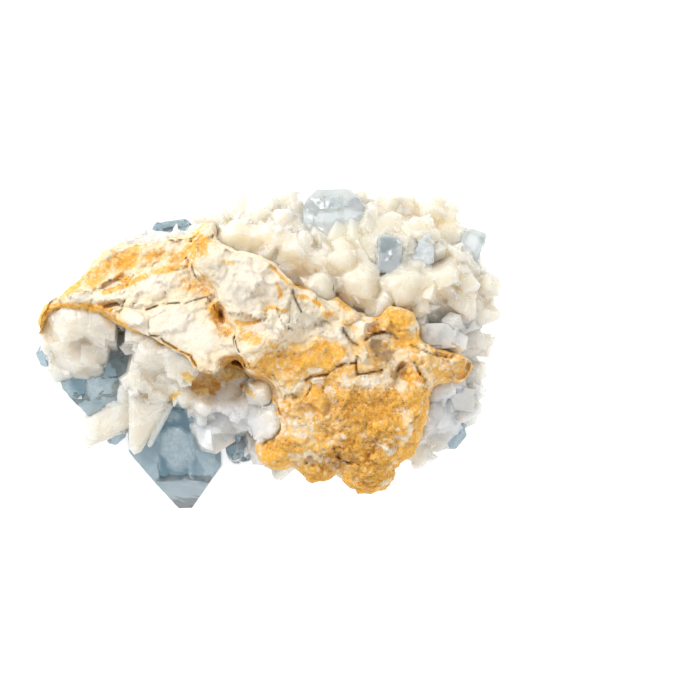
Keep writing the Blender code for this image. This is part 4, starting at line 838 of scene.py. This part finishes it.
def make_celestite(node_name):
    crystal = copy_node(node_name, node_name + "_crystal")
    bpy.ops.object.mode_set(mode="EDIT")
    bpy.ops.mesh.select_all(action="SELECT")
    bpy.ops.mesh.dissolve_limited(angle_limit=math.radians(0.6))
    bpy.ops.mesh.select_all(action="DESELECT")
    bpy.ops.mesh.edges_select_sharp(sharpness=math.radians(14.0))
    bpy.ops.mesh.bevel(offset=0.10 * MM, segments=2, profile=0.5, clamp_overlap=True)
    bpy.ops.object.mode_set(mode="OBJECT")
    swell(crystal, CELESTITE_SWELL)
    slice_faces(crystal, FACET_GRAIN)
    places = places_of(crystal)
    normals = normals_of(crystal)
    facing = smooth(0.1, 0.6, normals[:, 2])
    wavy = places + 0.22 * np.column_stack([rough(places, 1.1, 9.0, 2), rough(places, 1.1, 19.0, 2), 0.0 * places[:, 2]])
    frost = zones(wavy, FROST, 0.14) * facing
    dark_shade = zones(wavy, DARK_SHADE, 0.16) * facing
    light = zones(wavy, LIGHT, 0.12) * facing
    etch = rough(places, 2.2, 14.0, 3)
    uneven = 0.0 if node_name == "celestite_front_point" else 0.18 * cut_faces(places, normals, 4.0, 0.12, 0.8, SEED)
    steps = terraces(places @ np.array([0.25, 0.9, 0.35]) + 0.3 * rough(places, 0.4, 6.0), 1.1, 0.10)
    low_relief = 0.09 * frost * etch + 0.28 * frost - 0.24 * dark_shade + 0.05 * dark_shade * etch - 0.10 * light + 0.06 * steps + uneven
    places += normals * low_relief[:, None]
    places[:, 2] = np.maximum(places[:, 2], 0.0)
    move_to(crystal, places)
    paint(crystal, "frost", frost)
    # Painted shade: the dark teal zones
    paint(crystal, "dark_shade", dark_shade)
    paint(crystal, "light", light)
    crystal.data.shade_smooth()
    pick(crystal)
    bpy.ops.object.shade_smooth_by_angle(angle=math.radians(28.0))
    crystal.data.materials.append(celestite_materials[TONES.get(node_name, "blue")])
    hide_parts(node_name)
    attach(crystal, "root")
    return crystal


def link(tree, out, to):
    tree.links.new(out, to)


def node(tree, kind, **settings):
    made = tree.nodes.new(kind)
    for name, value in settings.items():
        setattr(made, name, value)
    return made


def noise_of(tree, where, scale, detail=4.0, roughness=0.55, distortion=0.0):
    made = node(tree, "ShaderNodeTexNoise")
    link(tree, where, made.inputs["Vector"])
    made.inputs["Scale"].default_value = scale
    made.inputs["Detail"].default_value = detail
    made.inputs["Roughness"].default_value = roughness
    made.inputs["Distortion"].default_value = distortion
    return made.outputs["Fac"]


def maths(tree, operation, first, second=0.5, third=None):
    made = node(tree, "ShaderNodeMath", operation=operation)
    for socket, value in zip(made.inputs, (first, second, third)):
        if value is None:
            continue
        if isinstance(value, (int, float)):
            socket.default_value = value
        else:
            link(tree, value, socket)
    return made.outputs[0]


def ramp(tree, value, low, high, to_low=0.0, to_high=1.0):
    made = node(tree, "ShaderNodeMapRange", interpolation_type="SMOOTHSTEP")
    link(tree, value, made.inputs["Value"])
    made.inputs["From Min"].default_value = low
    made.inputs["From Max"].default_value = high
    made.inputs["To Min"].default_value = to_low
    made.inputs["To Max"].default_value = to_high
    return made.outputs["Result"]


def blend_colour(tree, share, first, second):
    made = node(tree, "ShaderNodeMix", data_type="RGBA")
    for socket, value in ((made.inputs[0], share), (made.inputs[6], first), (made.inputs[7], second)):
        if isinstance(value, tuple):
            socket.default_value = (*value, 1.0)
        elif isinstance(value, (int, float)):
            socket.default_value = value
        else:
            link(tree, value, socket)
    return made.outputs[2]


def mask(tree, name):
    return node(tree, "ShaderNodeAttribute", attribute_name=name).outputs["Fac"]


def new_material(name):
    material = bpy.data.materials.new(name)
    material.use_nodes = True
    tree = material.node_tree
    shader = tree.nodes["Principled BSDF"]
    where = node(tree, "ShaderNodeTexCoord").outputs["Object"]
    return material, tree, shader, where


def bump(tree, shader, height, strength, distance):
    made = node(tree, "ShaderNodeBump")
    made.inputs["Strength"].default_value = strength
    made.inputs["Distance"].default_value = distance
    link(tree, height, made.inputs["Height"])
    link(tree, made.outputs["Normal"], shader.inputs["Normal"])


def limestone_material():
    material, tree, shader, where = new_material("weathered_limestone")
    broad = noise_of(tree, where, 260.0, 3.0)
    middle = noise_of(tree, where, 900.0, 5.0, 0.65)
    fine = noise_of(tree, where, 2600.0, 4.0, 0.7)
    flecks = noise_of(tree, where, 1700.0, 3.0, 0.75, 0.6)
    cream = blend_colour(tree, ramp(tree, broad, 0.35, 0.65), (0.97, 0.80, 0.55), (0.98, 0.88, 0.69))
    cream = blend_colour(tree, ramp(tree, flecks, 0.56, 0.72, 0.0, 0.5), cream, (0.74, 0.56, 0.34))
    pale_mask = maths(tree, "MULTIPLY", mask(tree, "pale"), ramp(tree, middle, 0.25, 0.6, 0.7, 1.0))
    base = blend_colour(tree, pale_mask, cream, (0.99, 0.92, 0.80))
    # Painted shade: greyish brown over hollows and facets turned from the light
    grey_shade_mask = maths(tree, "MULTIPLY", mask(tree, "grey"), ramp(tree, middle, 0.35, 0.6, 0.3, 1.0))
    base = blend_colour(tree, grey_shade_mask, base, (0.50, 0.44, 0.35))
    spread = maths(tree, "ADD", mask(tree, "ochre"), maths(tree, "MULTIPLY_ADD", middle, 2.6, -1.3))
    spread = maths(tree, "ADD", spread, maths(tree, "MULTIPLY_ADD", fine, 1.5, -0.75))
    spread = maths(tree, "MULTIPLY_ADD", mask(tree, "pale"), -0.5, spread)
    stained = ramp(tree, spread, 0.25, 0.85)
    ochre = blend_colour(tree, ramp(tree, fine, 0.42, 0.58), (0.92, 0.38, 0.008), (1.0, 0.56, 0.05))
    ochre = blend_colour(tree, ramp(tree, middle, 0.50, 0.64, 0.0, 0.8), ochre, (1.0, 0.76, 0.35))
    tan = noise_of(tree, where, 620.0, 5.0, 0.7)
    ochre = blend_colour(tree, ramp(tree, tan, 0.52, 0.68, 0.0, 0.75), ochre, (0.70, 0.41, 0.13))
    base = blend_colour(tree, maths(tree, "MULTIPLY", stained, 0.92), base, ochre)
    # Painted shade: the strongest grey marks made darker brown
    base = blend_colour(tree, ramp(tree, mask(tree, "grey"), 0.62, 0.95, 0.0, 0.8), base, (0.38, 0.29, 0.20))
    # Deep ochre brown, partly painted shade on the shaded dome, lobe, hollows and steep sides
    deep_and_shaded_amount = maths(tree, "ADD", mask(tree, "deep_and_shaded"), maths(tree, "MULTIPLY_ADD", flecks, 2.6, -1.3))
    base = blend_colour(tree, ramp(tree, deep_and_shaded_amount, 0.4, 1.2, 0.0, 0.7), base, (0.60, 0.27, 0.03))
    specks = noise_of(tree, where, 3600.0, 2.0, 0.6)
    specks = maths(tree, "MULTIPLY", ramp(tree, specks, 0.58, 0.66), ramp(tree, deep_and_shaded_amount, 0.3, 0.9, 0.06, 0.85))
    base = blend_colour(tree, specks, base, (0.24, 0.12, 0.04))
    # Painted shade: brown in the hollows between grains
    base = blend_colour(tree, maths(tree, "MULTIPLY", mask(tree, "hollow_shade"), 0.5), base, (0.36, 0.17, 0.05))
    # Painted shade: near black in the cracks
    base = blend_colour(tree, maths(tree, "MULTIPLY", mask(tree, "crack_shade"), 0.85), base, (0.10, 0.055, 0.02))
    link(tree, base, shader.inputs["Base Color"])
    link(tree, ramp(tree, fine, 0.3, 0.7, 0.72, 0.95), shader.inputs["Roughness"])
    shader.inputs["Specular IOR Level"].default_value = 0.25
    bump(tree, shader, maths(tree, "ADD", fine, maths(tree, "MULTIPLY", middle, 1.6)), 0.65, 0.0005)
    return material


def growth_lines_group():
    """Fine lines of growth, as calcite and celestite both show them, and the cloudiness inside."""
    group = bpy.data.node_groups.new("growth", "ShaderNodeTree")
    group.interface.new_socket("Place", in_out="INPUT", socket_type="NodeSocketVector")
    group.interface.new_socket("Lines each metre", in_out="INPUT", socket_type="NodeSocketFloat")
    group.interface.new_socket("Height", in_out="OUTPUT", socket_type="NodeSocketFloat")
    group.interface.new_socket("Cloud", in_out="OUTPUT", socket_type="NodeSocketFloat")
    entry = group.nodes.new("NodeGroupInput")
    leave = group.nodes.new("NodeGroupOutput")
    wave = node(group, "ShaderNodeTexWave", wave_type="BANDS", bands_direction="DIAGONAL")
    link(group, entry.outputs["Place"], wave.inputs["Vector"])
    link(group, entry.outputs["Lines each metre"], wave.inputs["Scale"])
    wave.inputs["Distortion"].default_value = 5.0
    wave.inputs["Detail"].default_value = 3.0
    wave.inputs["Detail Scale"].default_value = 2.0
    fine = noise_of(group, entry.outputs["Place"], 1400.0, 4.0, 0.6)
    height = maths(group, "MULTIPLY_ADD", wave.outputs["Fac"], 0.4, fine)
    link(group, height, leave.inputs["Height"])
    cloud = noise_of(group, entry.outputs["Place"], 320.0, 5.0, 0.6, 0.8)
    link(group, ramp(group, cloud, 0.36, 0.66), leave.inputs["Cloud"])
    return group


def growth(tree, where, lines):
    made = node(tree, "ShaderNodeGroup", node_tree=growth_group)
    link(tree, where, made.inputs["Place"])
    made.inputs["Lines each metre"].default_value = lines
    return made.outputs["Height"], made.outputs["Cloud"]


def calcite_material():
    material, tree, shader, where = new_material("milky_calcite")
    height, cloud = growth(tree, where, 260.0)
    base = blend_colour(tree, cloud, (0.80, 0.73, 0.62), (0.91, 0.86, 0.77))
    base = blend_colour(tree, maths(tree, "MULTIPLY", mask(tree, "warm"), 0.8), base, (0.91, 0.81, 0.63))
    base = blend_colour(tree, maths(tree, "MULTIPLY", mask(tree, "cool"), 0.8), base, (0.68, 0.72, 0.75))
    # Painted shade: greyish brown in recesses
    base = blend_colour(tree, maths(tree, "MULTIPLY", mask(tree, "recess_shade"), 0.7), base, (0.50, 0.46, 0.38))
    stain = maths(tree, "ADD", mask(tree, "rust"), maths(tree, "MULTIPLY_ADD", noise_of(tree, where, 1500.0), 1.6, -0.8))
    rust = blend_colour(tree, noise_of(tree, where, 2600.0, 3.0, 0.7), (0.80, 0.38, 0.03), (0.99, 0.68, 0.22))
    base = blend_colour(tree, maths(tree, "MULTIPLY", ramp(tree, stain, 0.25, 0.75), 0.85), base, rust)
    link(tree, base, shader.inputs["Base Color"])
    link(tree, ramp(tree, cloud, 0.0, 1.0, 0.22, 0.36), shader.inputs["Roughness"])
    shader.inputs["IOR"].default_value = 1.55
    shader.inputs["Subsurface Weight"].default_value = 1.0
    shader.inputs["Subsurface Radius"].default_value = (1.0, 0.88, 0.70)
    shader.inputs["Subsurface Scale"].default_value = 0.0042
    shader.inputs["Transmission Weight"].default_value = 0.12
    bump(tree, shader, height, 0.30, 0.0003)
    return material


def celestite_material(name, body, pale, deep_and_shaded, transmission, absorb, density):
    material, tree, shader, where = new_material(name)
    height, cloud = growth(tree, where, 420.0)
    base = blend_colour(tree, cloud, body, pale)
    base = blend_colour(tree, maths(tree, "MULTIPLY", mask(tree, "light"), 0.75), base, (0.70, 0.76, 0.79))
    # Painted shade: dark teal colour over the dark zones
    base = blend_colour(tree, maths(tree, "MULTIPLY", mask(tree, "dark_shade"), 0.9), base, deep_and_shaded)
    speck = ramp(tree, noise_of(tree, where, 1900.0, 3.0, 0.7), 0.35, 0.7)
    etched = blend_colour(tree, speck, (0.52, 0.62, 0.66), (0.86, 0.90, 0.91))
    base = blend_colour(tree, maths(tree, "MULTIPLY", mask(tree, "frost"), 0.9), base, etched)
    link(tree, base, shader.inputs["Base Color"])
    link(tree, maths(tree, "MULTIPLY_ADD", mask(tree, "frost"), 0.34, 0.09), shader.inputs["Roughness"])
    shader.inputs["IOR"].default_value = 1.62
    shader.inputs["Transmission Weight"].default_value = transmission
    volume = node(tree, "ShaderNodeVolumeAbsorption")
    volume.inputs["Color"].default_value = (*absorb, 1.0)
    volume.inputs["Density"].default_value = density
    link(tree, volume.outputs["Volume"], tree.nodes["Material Output"].inputs["Volume"])
    bump(tree, shader, height, 0.18, 0.0002)
    return material


def set_stage():
    """Pale floor, a wide soft light above and to the left, and a camera that looks straight down."""
    bpy.ops.mesh.primitive_plane_add(size=4.0, location=(0.0, 0.0, 0.0))
    floor = bpy.context.object
    floor.name = "pale_floor"
    material, tree, shader, where = new_material("pale_floor")
    shader.inputs["Base Color"].default_value = (0.95, 0.95, 0.95, 1.0)
    shader.inputs["Roughness"].default_value = 0.9
    shader.inputs["Emission Color"].default_value = (1.0, 1.0, 1.0, 1.0)
    shader.inputs["Emission Strength"].default_value = 0.48
    floor.data.materials.append(material)
    world = bpy.data.worlds.new("soft_room")
    world.use_nodes = True
    world.node_tree.nodes["Background"].inputs["Color"].default_value = (1.0, 1.0, 1.0, 1.0)
    world.node_tree.nodes["Background"].inputs["Strength"].default_value = 0.65
    bpy.context.scene.world = world
    for name, place, size, power in (("key", (-0.50, 0.45, 0.60), 0.45, 5.7), ("fill", (0.5, -0.2, 0.8), 0.8, 2.2)):
        light = bpy.data.lights.new(name, "AREA")
        light.size = size
        light.energy = power
        lamp = bpy.data.objects.new(name, light)
        lamp.location = place
        lamp.rotation_euler = (Vector(place) * -1.0).to_track_quat("-Z", "Y").to_euler()
        bpy.context.scene.collection.objects.link(lamp)
    camera = bpy.data.cameras.new("camera")
    camera.lens = 346.6
    camera.sensor_width = 36.0
    camera.clip_end = 10.0
    holder = bpy.data.objects.new("camera", camera)
    holder.location = (11.95 * MM, -0.11 * MM, 1.0)
    bpy.context.scene.collection.objects.link(holder)
    bpy.context.scene.camera = holder
    bpy.context.scene.view_settings.view_transform = "Standard"


growth_group = growth_lines_group()
# The fourth value of each is the dark teal painted as shade
celestite_materials = {
    "blue": celestite_material("blue_celestite", (0.46, 0.57, 0.62), (0.64, 0.72, 0.76), (0.10, 0.21, 0.27), 0.76,
                               (0.46, 0.65, 0.73), 90.0),
    "grey": celestite_material("grey_celestite", (0.68, 0.76, 0.79), (0.84, 0.88, 0.89), (0.28, 0.41, 0.48), 0.5,
                               (0.66, 0.78, 0.83), 36.0),
    "pale": celestite_material("pale_celestite", (0.88, 0.90, 0.88), (0.97, 0.97, 0.95), (0.48, 0.59, 0.66), 0.3,
                               (0.80, 0.90, 0.94), 15.0),
}
make_stone()
make_calcite()
for node_name in sorted(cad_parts):
    if node_name.startswith("celestite_"):
        make_celestite(node_name)
set_stage()
